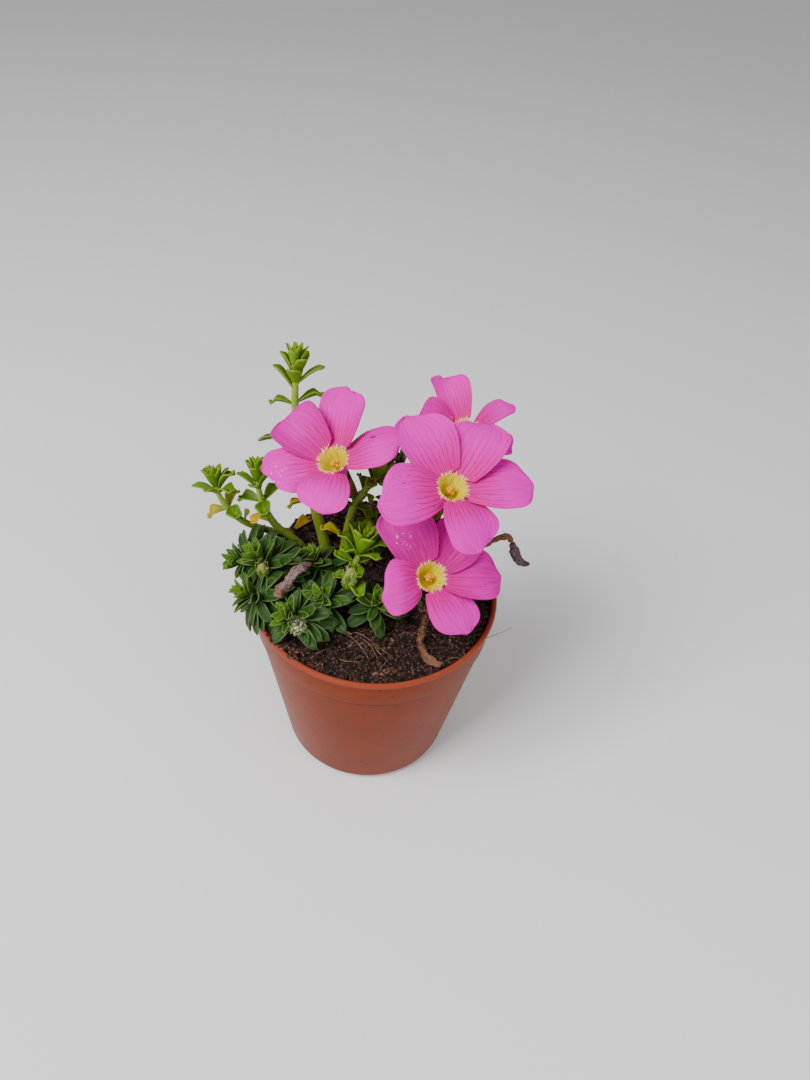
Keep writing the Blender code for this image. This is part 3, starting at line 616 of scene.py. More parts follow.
def petal_finish(name, outer, inner, vein, back=False):
    """A petal with fanned veins that fade outwards and a deep ring, and on its face the throat."""
    finish = Finish(name, 0.5, {"Specular IOR Level": 0.06})
    share, across, painted_shade = finish.attribute("petal").parts()
    x, y, z = finish.attribute("local").parts()
    wobble = finish.noise(finish.point(share * 2.6, across * 2.2, painted_shade * 9.0), 1.6, 3.0)
    coarse = abs(((across * 5.2 + wobble * 1.1) * math.pi).wave())
    thin = abs(((across * 12.0 + wobble * 2.6) * math.pi).wave())
    near = 1.0 - share.rise(0.12, 0.78)
    veins = (1.0 - coarse.rise(0.02, 0.34)) * near
    veins = veins + (1.0 - thin.rise(0.0, 0.42)) * (near * 0.45 + 0.12)
    cloud = finish.noise(finish.point(x, y, painted_shade * 20.0), 0.16, 3.0)
    edge = abs(across).rise(0.93, 1.0) + share.rise(0.975, 1.0)
    grain = finish.noise(finish.point(across * 9.0, share * 1.6, painted_shade * 9.0), 1.0, 3.0, 0.6)
    spots = finish.noise(finish.point(x, y, painted_shade * 7.0), 1.1, 2.0).rise(0.745, 0.765)
    finish.base = finish.mix(share.rise(0.02, 0.62) * 0.9 + cloud * 0.22 - 0.06, inner, outer)
    # Painted shade: each petal darkened by its given amount, most on the petals that lie in shade.
    finish.over(painted_shade, (0.42, 0.0, 0.19))
    finish.over(edge * 0.35, (0.46, 0.0, 0.24))
    finish.over(veins * 0.72, vein)
    # Painted sheen: the lighter streaks along the grain. The darker streaks below are the grain's own
    # colour.
    finish.over(grain.rise(0.5, 0.72) * 0.30, (0.90, 0.04, 0.58))
    finish.over((1.0 - grain.rise(0.28, 0.5)) * 0.30, (0.50, 0.0, 0.24))
    finish.over(spots * 0.6, (0.18, 0.01, 0.07))
    lay_marks(finish)
    if back:
        finish.over(1.0 - z.rise(-7.5, -3.5), (0.24, 0.19, 0.03))
    else:
        lay_throat(finish, x, y, (x * x + y * y).root())
    finish.set("Roughness", cloud * 0.2 + 0.4)
    relief = finish.noise(finish.point(x, y, z), 2.2, 3.0) * 0.5
    finish.bump((1.0 - coarse.rise(0.0, 0.6)) * -0.8 + relief, 0.5, 0.10)
    return finish.done()


def leaf_finish(name, young, old, edge, rib, shine=0.42):
    """A leaflet: pale along its edge and its rib, darker with age, and mottled."""
    finish = Finish(name, shine, {"Specular IOR Level": 0.13})
    u, v = finish.spread()
    age, luck, faded = finish.attribute("shade").parts()
    where = finish.place()
    off_rib = abs(u - 0.5) * 2.0
    cloud = finish.noise(where, 0.9, 3.0)
    ribs = abs(((v * 7.0 - off_rib * 1.6) * math.pi).wave())
    rim = (off_rib.rise(0.84, 0.96) + v.rise(0.96, 1.0)).through("MINIMUM", 1.0)
    yellowing = faded * (cloud.rise(0.3, 0.6) * 0.5 + v.rise(0.2, 0.9) * 0.5)
    finish.base = finish.mix((age + cloud * 0.5 - 0.25 + luck * 0.25).rise(0.0, 1.0), young, old)
    finish.over((1.0 - ribs.rise(0.0, 0.3)) * 0.12, edge)
    finish.over((1.0 - off_rib.rise(0.02, 0.16)) * 0.45, rib)
    finish.over(rim * 0.6, edge)
    finish.over(yellowing, (0.42, 0.30, 0.005))
    finish.set("Roughness", cloud * 0.25 + (shine - 0.1))
    finish.bump(ribs * 0.5 + finish.noise(where, 3.0, 3.0) * 0.6, 0.35, 0.06)
    return finish.done()


def stem_finish(name, low, high, streaked):
    """A stem with fine lengthwise streaks, from its foot's colour to its head's by age."""
    finish = Finish(name, 0.5, {"Specular IOR Level": 0.25, "Sheen Weight": 0.1})
    where = finish.place()
    age = finish.attribute("shade").parts()[0]
    x, y, z = where.parts()
    streaks = finish.noise(finish.point(x * 2.2, y * 2.2, z * 0.22), 1.0, 4.0, 0.6)
    cloud = finish.noise(where, 0.5, 3.0)
    finish.base = finish.mix((age + cloud * 0.4 - 0.2).rise(0.0, 1.0), high, low)
    finish.over(streaks.rise(0.5, 0.75) * 0.6, streaked)
    finish.bump(streaks + finish.noise(where, 2.8, 2.0) * 0.3, 0.4, 0.12)
    return finish.done()


def dry_finish(name, dark, light, tip):
    """Withered tissue: shrunk lengthwise ridges in two tones with painted shade in their troughs, blotches,
    and a tip of another colour.
    """
    finish = Finish(name, 0.8, {"Specular IOR Level": 0.25})
    where = finish.place()
    run = finish.attribute("shade").parts()[0]
    x, y, z = where.parts()
    ridges = finish.noise(finish.point(x * 1.4, y * 1.4, z * 1.0), 1.6, 5.0, 0.7)
    finish.base = finish.ramp(ridges, ((0.35, dark), (0.62, light)))
    finish.over(run.rise(0.45, 0.95) * 0.6, tip)
    # Painted shade: the troughs between the ridges darkened nearly to black.
    finish.over(1.0 - ridges.rise(0.30, 0.44), (0.016, 0.007, 0.004))
    finish.over(finish.noise(where, 2.4, 3.0).rise(0.60, 0.72) * 0.35, (0.42, 0.33, 0.25))
    finish.bump(ridges, 0.9, 0.3)
    return finish.done()


def plain_finish(name, dark, light, roughness, scale=1.2, depth=0.1):
    """Two close colours in a fine grain."""
    finish = Finish(name, roughness, {"Specular IOR Level": 0.35})
    grain = finish.noise(finish.place(), scale, 4.0, 0.6)
    finish.base = finish.ramp(grain, ((0.35, dark), (0.65, light)))
    finish.bump(grain, 0.5, depth)
    return finish.done()


def scaly_finish(name, gap_colour, dark, light):
    """Small pale scales with dark gaps between them."""
    finish = Finish(name, 0.75, {"Specular IOR Level": 0.2})
    gap, tint = finish.cells(finish.place(), 1.5)
    finish.base = finish.mix(tint.parts()[0], dark, light)
    finish.over(gap.rise(0.35, 0.75), gap_colour)
    finish.bump(gap * -1.0, 0.9, 0.4)
    return finish.done()


POT_PLASTIC = pot_finish()
SOIL = soil_finish("peat", (0.013, 0.006, 0.004), (0.13, 0.062, 0.042))
CHIPS = soil_finish("reddish chips", (0.09, 0.036, 0.020), (0.33, 0.155, 0.098))
GRIT = soil_finish("pale grit", (0.30, 0.24, 0.20), (0.62, 0.56, 0.50))
PETAL_FACE = petal_finish("pink petal face", (0.77, 0.0, 0.48), (0.64, 0.0, 0.22), (0.26, 0.0, 0.10))
PETAL_BACK = petal_finish("pink petal back", (0.72, 0.030, 0.46), (0.60, 0.03, 0.30), (0.42, 0.01, 0.20),
                          back=True)
STAMENS = plain_finish("golden stamen", (0.58, 0.26, 0.0), (0.80, 0.42, 0.0), 0.7, 2.5)
FRESH = leaf_finish("fresh leaf face", (0.145, 0.27, 0.004), (0.030, 0.095, 0.003), (0.20, 0.30, 0.03),
                    (0.17, 0.30, 0.015))
FRESH_BACK = leaf_finish("fresh leaf back", (0.14, 0.25, 0.015), (0.045, 0.115, 0.010), (0.22, 0.31, 0.05),
                         (0.19, 0.29, 0.04), 0.6)
DARK = leaf_finish("dark leaf face", (0.085, 0.19, 0.006), (0.019, 0.056, 0.010), (0.15, 0.22, 0.06),
                   (0.065, 0.13, 0.022))
DARK_BACK = leaf_finish("dark leaf back", (0.095, 0.18, 0.025), (0.036, 0.088, 0.024), (0.17, 0.24, 0.09),
                        (0.12, 0.18, 0.055), 0.6)
FADED = leaf_finish("yellowed leaf", (0.34, 0.33, 0.0), (0.46, 0.27, 0.003), (0.50, 0.38, 0.03),
                    (0.42, 0.38, 0.03))
WITHERED_LEAF = leaf_finish("withered leaf", (0.13, 0.045, 0.012), (0.06, 0.018, 0.006), (0.20, 0.09, 0.03),
                            (0.17, 0.07, 0.02), 0.75)
OLIVE_SEPAL = leaf_finish("olive sepal", (0.20, 0.14, 0.015), (0.15, 0.065, 0.012), (0.26, 0.20, 0.05),
                          (0.22, 0.15, 0.03), 0.6)
FRESH_STEM = stem_finish("fresh stem", (0.13, 0.19, 0.003), (0.26, 0.38, 0.03), (0.32, 0.41, 0.09))
DARK_STEM = stem_finish("dark stem", (0.085, 0.12, 0.01), (0.14, 0.20, 0.02), (0.22, 0.27, 0.07))
CALYX = stem_finish("olive calyx", (0.09, 0.06, 0.008), (0.16, 0.12, 0.015), (0.22, 0.17, 0.05))
BUD = plain_finish("downy bud", (0.13, 0.17, 0.015), (0.33, 0.36, 0.09), 0.8, 1.6, 0.25)
SCALES = scaly_finish("scaly bud", (0.05, 0.055, 0.01), (0.22, 0.24, 0.10), (0.52, 0.50, 0.36))
DOWN = plain_finish("pale down", (0.52, 0.56, 0.36), (0.70, 0.72, 0.55), 0.7)
DRY_BROWN = dry_finish("withered brown", (0.030, 0.010, 0.005), (0.25, 0.11, 0.058), (0.22, 0.10, 0.055))
DRY_TWO_TONED = dry_finish("spent bloom", (0.060, 0.032, 0.038), (0.34, 0.22, 0.21), (0.20, 0.085, 0.028))
DRY_PURPLE = dry_finish("withered purple", (0.030, 0.018, 0.026), (0.15, 0.09, 0.10), (0.030, 0.020, 0.030))
ROOTS = plain_finish("fine root", (0.16, 0.070, 0.040), (0.36, 0.21, 0.13), 0.7)


# Pot

def pot_outer_radius(height):
    """Outer radius of the tapered wall below the collar."""
    top = POT_RIM_RADIUS - LIP_PROUD - COLLAR_STEP
    return POT_BASE_RADIUS + (top - 0.55 - POT_BASE_RADIUS) * height / COLLAR_FOOT


def pot_inner_radius(height):
    if height <= COLLAR_FOOT:
        return pot_outer_radius(height) - POT_WALL
    foot_radius = pot_outer_radius(COLLAR_FOOT) + COLLAR_STEP - POT_WALL
    rim_radius = POT_RIM_RADIUS - LIP_PROUD - POT_WALL
    return foot_radius + (rim_radius - foot_radius) * (height - COLLAR_FOOT) / COLLAR_HEIGHT


def build_pot():
    wall_top = pot_outer_radius(COLLAR_FOOT)
    profile = [(0.0, 0.0), (POT_BASE_RADIUS - BASE_ROUNDING, 0.0)]
    for degrees in (15, 30, 45, 60, 75, 90):
        angle = math.radians(degrees)
        height = BASE_ROUNDING * (1 - math.cos(angle))
        inset = BASE_ROUNDING * (1 - math.sin(angle))
        profile.append((pot_outer_radius(height) - inset, height))
    profile.append((pot_outer_radius(COLLAR_FOOT - 0.5), COLLAR_FOOT - 0.5))
    for out, up in ((0, 0), (0.8, 0.25), (1, 0.5)):
        profile.append((wall_top + COLLAR_STEP * out, COLLAR_FOOT + up))
    profile += [(POT_RIM_RADIUS - inset, POT_HEIGHT - drop) for inset, drop in COLLAR_AND_LIP]
    inner_heights = (POT_HEIGHT - 0.8, COLLAR_FOOT + 1.2, COLLAR_FOOT)
    profile += [(pot_inner_radius(height), height) for height in inner_heights]
    floor_radius = pot_inner_radius(POT_FLOOR)
    profile += [(floor_radius - BASE_ROUNDING * 0.3, POT_FLOOR + 1.0),
                (floor_radius - BASE_ROUNDING, POT_FLOOR), (0.0, POT_FLOOR)]
    pot = turned("pot_wall", profile, POT_STEPS, smooth=32)
    for i in range(DRAIN_HOLES):
        place = spoke_at(math.tau * (i + 0.5) / DRAIN_HOLES, EAST, NORTH) * DRAIN_RING_RADIUS * MM
        cutter = primitive("drain", bpy.ops.mesh.primitive_cylinder_add, vertices=32,
                           radius=DRAIN_HOLE_RADIUS * MM, depth=POT_FLOOR * 4 * MM, location=place)
        apply_modifier(pot, "BOOLEAN", operation="DIFFERENCE", object=cutter)
        remove([cutter])
    stand_for(give_finish(pot, POT_PLASTIC), "terracotta_plastic", "pot")


# Soil

def soil_height(x, y):
    """Height of the soil: level at the front and right, mounded at the back left."""
    rise = (Vector((x, y)).dot(MOUND_TOWARDS) - MOUND_START) / MOUND_SPAN
    rise = max(0.0, min(1.0, rise))
    mound = MOUND_RISE * rise * rise * (3 - 2 * rise)
    to_edge = pot_inner_radius(POT_HEIGHT) - math.hypot(x, y)
    mound *= 1 - EDGE_FALL * max(0.0, 1 - to_edge / EDGE_WIDTH)
    crumbs = noise.noise(Vector((x * CRUMB_SCALE, y * CRUMB_SCALE, 3.7)))
    return SOIL_LEVEL + mound + CRUMB_HEIGHT * crumbs


def crumbly_height(x, y):
    """Height of the soil with its small lumps: rounded cells of three sizes."""
    height = soil_height(x, y)
    lumps = 0.0
    for size, rise in ((2.2, 0.8), (1.1, 0.6), (0.55, 0.26)):
        gaps, _ = noise.voronoi(Vector((x / size, y / size, size)))
        lumps += rise * (0.55 - gaps[0])
    return height + lumps


def build_soil():
    edge = pot_inner_radius(POT_HEIGHT) - SOIL_WALL_GAP
    foot = POT_FLOOR + GAP
    low = POT_FLOOR + 1.0 + SOIL_WALL_GAP
    profile = [(0.0, foot)]
    profile += [(pot_inner_radius(height) - rounding - SOIL_WALL_GAP, height)
                for height, rounding in ((foot, BASE_ROUNDING), (low, BASE_ROUNDING * 0.3),
                                         (COLLAR_FOOT, 0.0))]
    rings = int(edge / SOIL_RING)
    profile += [(edge * (1 - ring / rings), SOIL_LEVEL) for ring in range(rings + 1)]
    soil = turned("soil_surface", profile, SOIL_STEPS)
    for vertex in soil.data.vertices:
        if vertex.co.z > (SOIL_LEVEL - 1) * MM:
            vertex.co.z = crumbly_height(vertex.co.x / MM, vertex.co.y / MM) * MM
    shade_smooth(soil)
    return give_finish(soil, SOIL)


def crumb_patterns():
    """Three lumps, each an icosphere squashed and pulled out of round in edit mode."""
    patterns = []
    for flat, long in CRUMB_FORMS:
        crumb = primitive("crumb", bpy.ops.mesh.primitive_ico_sphere_add, subdivisions=1, radius=0.5)
        edit(crumb)
        bpy.ops.mesh.select_all(action="SELECT")
        bpy.ops.transform.resize(value=(long, 1.0, flat))
        move_points(crumb, lambda p: p.x + p.y > 0.3, (0.10, -0.08, 0.06))
        move_points(crumb, lambda p: p.x - p.y < -0.35, (0.06, -0.05, -0.08))
        leave_edit()
        patterns.append(crumb)
    return patterns


def crumb_at(pattern, place, turn, size, finish):
    matrix = Matrix.Translation(Vector(place) * MM) @ turn @ Matrix.Scale(size * MM, 4)
    return give_finish(copy_of(pattern, matrix), finish)


def strewn(patterns, litter, finish, limit):
    """Copies of the patterns strewn over the soil, half sunk in it."""
    count, low, high = litter
    copies = []
    while len(copies) < count:
        x, y = chance.uniform(-limit, limit), chance.uniform(-limit, limit)
        if math.hypot(x, y) > limit:
            continue
        size = low + (high - low) * chance.random() ** 2.2
        turn = Matrix.Rotation(any_angle(), 4, "Z") @ Matrix.Rotation(any_angle(), 4, "X")
        place = (x, y, crumbly_height(x, y) + size * 0.12)
        copies.append(crumb_at(chance.choice(patterns), place, turn, size, finish))
    return copies


def spilled(patterns):
    """A heap of crumbs against the rim at the front left, some of them on its top."""
    nearest, farthest = SPILL_RADII
    copies = []
    for _ in range(SPILLED_CRUMBS):
        r = chance.uniform(nearest, farthest)
        angle = math.radians(chance.gauss(SPILL_TOWARDS, SPILL_SPREAD))
        climb = (r - nearest) / (farthest - nearest) * SPILL_CLIMB
        height = SOIL_LEVEL + 0.5 + climb + chance.uniform(-0.2, 0.2)
        turn = Matrix.Rotation(any_angle(), 4, "X") @ Matrix.Rotation(chance.random() * 6, 4, "Z")
        place = (r * math.cos(angle), r * math.sin(angle), height)
        copies.append(crumb_at(chance.choice(patterns), place, turn, chance.uniform(0.35, 1.0),
                               chance.choice((SOIL, CHIPS))))
    return copies


def build_soil_and_crumbs():
    soil = build_soil()
    patterns = crumb_patterns()
    limit = pot_inner_radius(POT_HEIGHT) - 0.9
    crumbs = strewn(patterns, CRUMBS_STREWN, SOIL, limit) + spilled(patterns)
    chips = strewn(patterns, CHIPS_STREWN, CHIPS, limit - 0.6)
    chips += strewn(patterns, GRIT_STREWN, GRIT, limit - 0.6)
    stand_for(joined("soil_surface", [soil] + crumbs), "peat", "soil")
    stand_for(joined("soil_chips", chips), "peat")
    remove(patterns)


# Roots and fibres: points on the photograph's side of the soil

ROOT_RUNS = [
    ((-5.0, -13.8), (-3.4, -15.2), (-1.0, -17.6), (0.2, -19.4), (0.6, -20.6), (-0.2, -22.2),
     (-0.8, -23.0)),
    ((-5.0, -13.8), (-2.3, -14.0), (0.9, -15.5), (3.8, -17.5), (6.7, -19.3)),
    ((-2.3, -14.0), (0.4, -16.6), (1.8, -18.6), (3.6, -21.4)),
    ((0.9, -15.5), (2.6, -18.2), (4.2, -19.6), (3.4, -22.0), (2.0, -24.0)),
    ((-11.5, -20.3), (-9.4, -19.4), (-7.7, -17.9)),
    ((-5.2, -20.6), (-3.6, -21.6), (-1.2, -21.4), (-0.5, -22.3)),
    ((20.0, -13.8), (20.4, -16.0), (21.3, -18.0)),
    ((17.0, -17.6), (19.0, -17.4), (21.6, -18.4)),
]
FIBRE_OVER_RIM = ((23.2, -12.6, 47.2), (25.6, -11.6, 48.2), (28.2, -10.6, 49.0), (30.4, -9.4, 49.6))
ROOT_KNOT = ((-6.4, -13.4, 47.3), (-5.0, -13.8, 47.6), (-3.6, -14.0, 47.4))


def on_soil(x, y, lift):
    return (x, y, soil_height(x, y) + lift)


def root_run(run):
    """A fine root that lifts off the soil between its ends."""
    points = [on_soil(x, y, 0.45 + chance.uniform(0.0, 0.5)) for x, y in run]
    points[0], points[-1] = on_soil(*run[0], 0.1), on_soil(*run[-1], 0.1)
    return tube("root", smooth_path(points, 4), [0.075, 0.06, 0.035], 1)


def stray_fibre():
    """A short bowed fibre that lies anywhere on the soil, or None where it would cross the wall."""
    x, y = chance.uniform(-22, 22), chance.uniform(-24, 18)
    angle = any_angle()
    length = chance.uniform(1.0, 3.4)
    if math.hypot(x, y) + length > pot_inner_radius(POT_HEIGHT) - 1:
        return None
    bow = chance.uniform(-0.3, 0.3)
    points = []
    for t in (0.0, 0.5, 1.0):
        aside = bow * t * (1 - t) * 4
        px = x + length * (t * math.cos(angle) - aside * math.sin(angle))
        py = y + length * (t * math.sin(angle) + aside * math.cos(angle))
        points.append((px, py, crumbly_height(px, py) + 0.1 + 0.7 * t * chance.random()))
    return tube("fibre", smooth_path(points, 3), [0.05, 0.03], 0)


def build_roots():
    strands = [root_run(run) for run in ROOT_RUNS]
    strands += [fibre for fibre in [stray_fibre() for _ in range(STRAY_FIBRES)] if fibre]
    strands.append(tube("fibre", smooth_path(FIBRE_OVER_RIM, 4), [0.10, 0.10, 0.05], 1))
    strands.append(tube("root knot", smooth_path(ROOT_KNOT, 4), [0.2, 0.45, 0.2], 1))
    stand_for(give_finish(joined("fine_roots", strands), ROOTS), "withered_brown")


# Leaf patterns: one leaflet of each kind, 1 wide and 1 long, with its rib along +Y

def leaf_pattern(name, outline, fold, droop, notch=0.0, curl=0.0, columns=4, rounding=0.0):
    """Shape a grid into a leaflet: its columns are raised by the fold, then its rows are narrowed."""
    rows = len(outline) - 1
    leaf = primitive(name, bpy.ops.mesh.primitive_grid_add, x_subdivisions=columns, y_subdivisions=rows,
                     size=1, location=(0, 0.5, 0))
    edit(leaf)
    for column in range(1, columns // 2 + 1):
        x = column / columns
        move_points(leaf, lambda p: abs(abs(p.x) - x) < 0.01, (0, 0, fold * 0.5 * (2 * x) ** 1.3))
        move_points(leaf, lambda p: abs(abs(p.x) - x) < 0.01 and p.y > 0.99,
                    (0, -rounding * (2 * x) ** 2, 0))
    for row, spread in enumerate(outline):
        share = row / rows
        if row == rows:
            select_points(leaf, lambda p: p.y > share - rounding - 0.01)
        else:
            select_points(leaf, lambda p: abs(p.y - share) < 0.01)
        bpy.ops.transform.resize(value=(spread, 1, spread), center_override=(0, share, 0))
        bpy.ops.transform.translate(value=(0, 0, -droop * share * share - curl * share ** 4))
    if notch:
        move_points(leaf, lambda p: p.y > 0.99 and abs(p.x) < 0.05, (0, -notch, 0))
    leave_edit()
    apply_modifier(leaf, "SOLIDIFY", thickness=0.09, offset=0.0, material_offset=1)
    shade_smooth(leaf)
    return leaf


# Each kind of leaflet: its outline, droop, notch, columns and rounding, then each variant's fold and curl
LEAF_KINDS = {
    "narrow": ((0.26, 0.50, 0.74, 0.91, 1.0, 0.97, 0.78, 0.20), 0.36, 0.0, 4, 0.03,
               ((1.0, 0.0), (1.4, 0.14), (0.7, -0.10))),
    "slim": ((0.26, 0.60, 0.86, 1.0, 0.92, 0.66, 0.14), 0.30, 0.0, 4, 0.0, ((1.1, 0.0), (1.8, -0.12))),
    "strap": ((0.34, 0.52, 0.70, 0.87, 0.98, 1.0, 0.92, 0.58), 0.1, 0.0, 4, 0.07,
              ((1.1, 0.1), (1.7, 0.05), (0.8, 0.25))),
    "heart": ((0.20, 0.34, 0.52, 0.71, 0.88, 0.98, 1.0, 0.92, 0.62), 0.20, 0.10, 6, 0.12,
              ((1.0, 0.0), (1.9, 0.12), (1.4, 0.2))),
}
PATTERNS = {}
for kind, (outline, droop, notch, columns, rounding, variants) in LEAF_KINDS.items():
    PATTERNS[kind] = [leaf_pattern(kind, outline, LEAF_FOLD * fold, droop, notch, curl, columns, rounding)
                      for fold, curl in variants]
PATTERNS["sepal"] = [leaf_pattern("sepal", (0.8, 1.0, 0.96, 0.84, 0.62, 0.36, 0.12), 0.5, 0.0)]


def leaflet_copy(form, root, aim, face, length, width, shade, finishes):
    """A leaflet of its own: a copy of one pattern, sized and turned to its place."""
    pattern = chance.choice(PATTERNS[form])
    across = aim.cross(face).normalized()
    copy = copy_of(pattern, frame_matrix(across * width, aim * length, face * width, root))
    return shaded(copy, shade, *finishes)


# A hair 1 long: a three-sided cone that stands on the origin
HAIR = primitive("hair", bpy.ops.mesh.primitive_cone_add, vertices=3, radius1=0.03, radius2=0.0, depth=1,
                 location=(0, 0, 0.5))


def hair_copy(root, aim, length):
    return give_finish(copy_of(HAIR, frame_matrix(*side_vectors(aim), aim * length, root)), DOWN)


def hairs_on_stem(path, radii, count):
    """Fine hairs that stand out from a stem and lean up it."""
    hairs = []
    for _ in range(count):
        t = chance.uniform(0.25, 0.98)
        below, above, share = stretch(path, t)
        ahead = (above - below).normalized()
        spoke = spoke_at(any_angle(), *side_vectors(ahead))
        root = below.lerp(above, share) + spoke * along(radii, t) * 0.9
        aim = (spoke + ahead * chance.uniform(-0.1, 0.9)).normalized()
        hairs.append(hair_copy(root, aim, chance.uniform(0.35, 0.95)))
    return hairs


# Finding the leaves of the solids

def solid_tree(node):
    mesh = frame["nodes"][node].data
    points = [vertex.co / MM for vertex in mesh.vertices]
    return BVHTree.FromPolygons(points, [tuple(face.vertices) for face in mesh.polygons])


def bent_aims(aim, face, stem_axis):
    """The wanted direction first, then ones that bend the leaf up, down or to a side."""
    yield aim, face
    side = face.cross(aim).normalized()
    for amount in BEND_AMOUNTS:
        for bend_by, swing_by in ((-1, 0), (0, 1), (0, -1), (1, 0), (-1, 1), (-1, -1)):
            bend = Matrix.Rotation(BEND_STEP * amount * bend_by, 3, side)
            swing = Matrix.Rotation(SWING_STEP * amount * swing_by, 3, stem_axis)
            turn = swing @ bend
            yield turn @ aim, turn @ face


def leaf_marks(root, aim, face, length, width, form):
    """Points on the rim of a solid's leaf: both edges at each station, and the tip."""
    side = face.cross(aim).normalized()
    marks = []
    for share, spread in LEAF_STATIONS[form]:
        half = width / 2 * spread
        middle = root + aim * length * share - face * length * TIP_DROOP * share * share
        marks += [middle + face * half * LEAF_FOLD + side * half * sign for sign in (1, -1)]
    if form != "heart":
        marks.append(root + aim * length - face * length * TIP_DROOP)
    return marks


def leaf_on_solid(tree, root, aim, face, axis, length, width, form):
    """How the solid's leaf is bent and sized there, or None where the solid has none."""
    best = None
    for size in LEAF_SIZES:
        for new_aim, new_face in bent_aims(aim, face, axis):
            marks = leaf_marks(root, new_aim, new_face, length * size, width * size, form)
            off = sum(tree.find_nearest(mark)[3] for mark in marks) / len(marks)
            if best is None or off < best[0] - 0.001:
                best = (off, new_aim, new_face, size)
    return best[1:] if best[0] < FOUND_WITHIN else None


def leaf_frame(path, radii, at, turn, spread):
    """Where a leaf leaves the stem: its root, its direction, its upper face and the stem's axis."""
    below, above, share = stretch(path, at)
    axis = (above - below).normalized()
    east = (EAST - axis * EAST.dot(axis)).normalized()
    spoke = spoke_at(math.radians(turn), east, axis.cross(east))
    opening = math.radians(spread)
    aim = axis * math.cos(opening) + spoke * math.sin(opening)
    face = axis * math.sin(opening) - spoke * math.cos(opening)
    root = below.lerp(above, share) + spoke * along(radii, at) * LEAF_ROOT
    return root, aim, face, axis


BLOCKERS = ["pot", "soil", "spent_bloom_left", "spent_bloom_middle", "dry_stalk_front",
            "withered_stalk_right", "withered_bloom_right"]
BLOCKERS += ["bloom_%d_petals" % number for number in (1, 2, 3, 4)]
BLOCKED = [solid_tree(node) for node in BLOCKERS]


def is_clear(root, aim, face, length, width):
    """True where a small extra leaf would cut through no petal, withered piece, pot or soil."""
    side = face.cross(aim).normalized()
    start = root + aim * length * 0.2
    ends = [root + aim * length * 1.05 - face * length * TIP_DROOP]
    ends += [root + aim * length * 0.6 + side * width * sign * 0.6 for sign in (-1, 1)]
    ends += [root + aim * length * 0.7 + face * lift for lift in (0.4, -0.6)]
    ways = [end - start for end in ends]
    return not any(tree.ray_cast(start, way.normalized(), way.length)[0]
                   for way in ways for tree in BLOCKED)


# Leaf rules. Each gives, for one leaf: its place up the stem, turn, spread, length and width

def ring(at, count, turn, spread, length, width, form="heart"):
    """A ring of equal leaves round the stem."""
    return [(at, turn + 360 * i / count, spread, length, width, form) for i in range(count)]


def singles(*rules):
    """Leaves given one by one. The form is heart where none is given."""
    return [(*rule, "heart")[:6] for rule in rules]


def spiral(start, stop, count, turn, spread, length, width, form="narrow"):
    """Leaves up a spiral; spread, length and width run from the lowest leaf to the topmost."""
    leaves = []
    for i in range(count):
        t = i / (count - 1)
        sizes = [low + (high - low) * t for low, high in (spread, length, width)]
        leaves.append((start + (stop - start) * t, turn + math.degrees(GOLDEN_ANGLE) * i, *sizes,
                       form if t < 0.5 else "slim"))
    return leaves


class Shoot:
    """A leafy stem or a rosette: one stem, its leaves, and any bud or flower stalk it bears."""

    def __init__(self, name, kind, root, through, radii, leaves, extra=()):
        self.name = name
        self.kind = kind
        self.fresh = kind == "fresh_green"
        self.radii = radii
        self.leaves = leaves
        self.extra = extra
        self.given = [on_soil(*root, GAP - HOLE_DEPTH), on_soil(*root, STEM_ABOVE_SOIL), *through]
        self.path = smooth_path(self.given, PATH_STEPS)[PATH_STEPS:]
        self.borne = []

    def stem_piece(self):
        stem = tube("stem", smooth_path(self.given, FINE_STEPS), self.radii)
        low, high = self.given[1][2], self.given[-1][2]
        rises = [(vertex.co.z / MM - low) / (high - low) for vertex in stem.data.vertices]
        paint_points(stem, "shade", [(max(0.0, min(1.0, 1.0 - rise)), 0.5, 0.0) for rise in rises])
        return give_finish(stem, FRESH_STEM if self.fresh else DARK_STEM)

    def leaf(self, rule, tree):
        """A leaf as the solid has it, or an extra one where there is no solid to follow."""
        at, turn, spread, length, width, form = rule
        root, aim, face, axis = leaf_frame(self.path, self.radii, at, turn, spread)
        size = 1.0
        if tree:
            found = leaf_on_solid(tree, root, aim, face, axis, length, width, form)
            if not found:
                return None
            aim, face, size = found
        else:
            if self.fresh:
                lean = axis.rotation_difference(axis + Vector((0, HEAD_LEAN, 0)))
                aim, face = lean @ aim, lean @ face
            if not is_clear(root, aim, face, length, width):
                return None
        luck = chance.random()
        age = spread / 170 if self.fresh else min(1.0, max(0.0, (spread - 8) / 80))
        faded = 0.9 if at < FADED_BELOW.get(self.name, 0.0) and luck < FADED_SHARE else 0.0
        finishes = (FRESH, FRESH_BACK) if self.fresh else (DARK, DARK_BACK)
        return leaflet_copy(form, root, aim, face, length * size, width * size, (age, luck, faded), finishes)

    def build(self):
        tree = solid_tree(self.name)
        members = [self.stem_piece()]
        members += [self.leaf(rule, tree) for rule in self.leaves]
        members += [self.leaf(rule, None) for rule in self.extra]
        members += hairs_on_stem(self.path, self.radii, 90 if self.fresh else 30)
        members += self.borne
        piece = joined(self.name + "_grown", [member for member in members if member])
        stand_for(piece, self.kind, self.name)


def shoot_head(start, stop, turn, length):
    """The upright leaflets that close a shoot's head, broad ones below and narrow ones above."""
    middle = (start + stop) / 2
    return (ring(start, 3, turn, 31, length * 1.12, length * 0.46, "strap")
            + spiral(start, middle, 4, turn + 50, (26, 17), (length * 1.15, length * 1.0),
                     (length * 0.40, length * 0.34), "strap")
            + spiral(middle, stop, 6, turn, (15, 3), (length * 1.0, length * 0.8), (1.9, 1.2), "slim"))


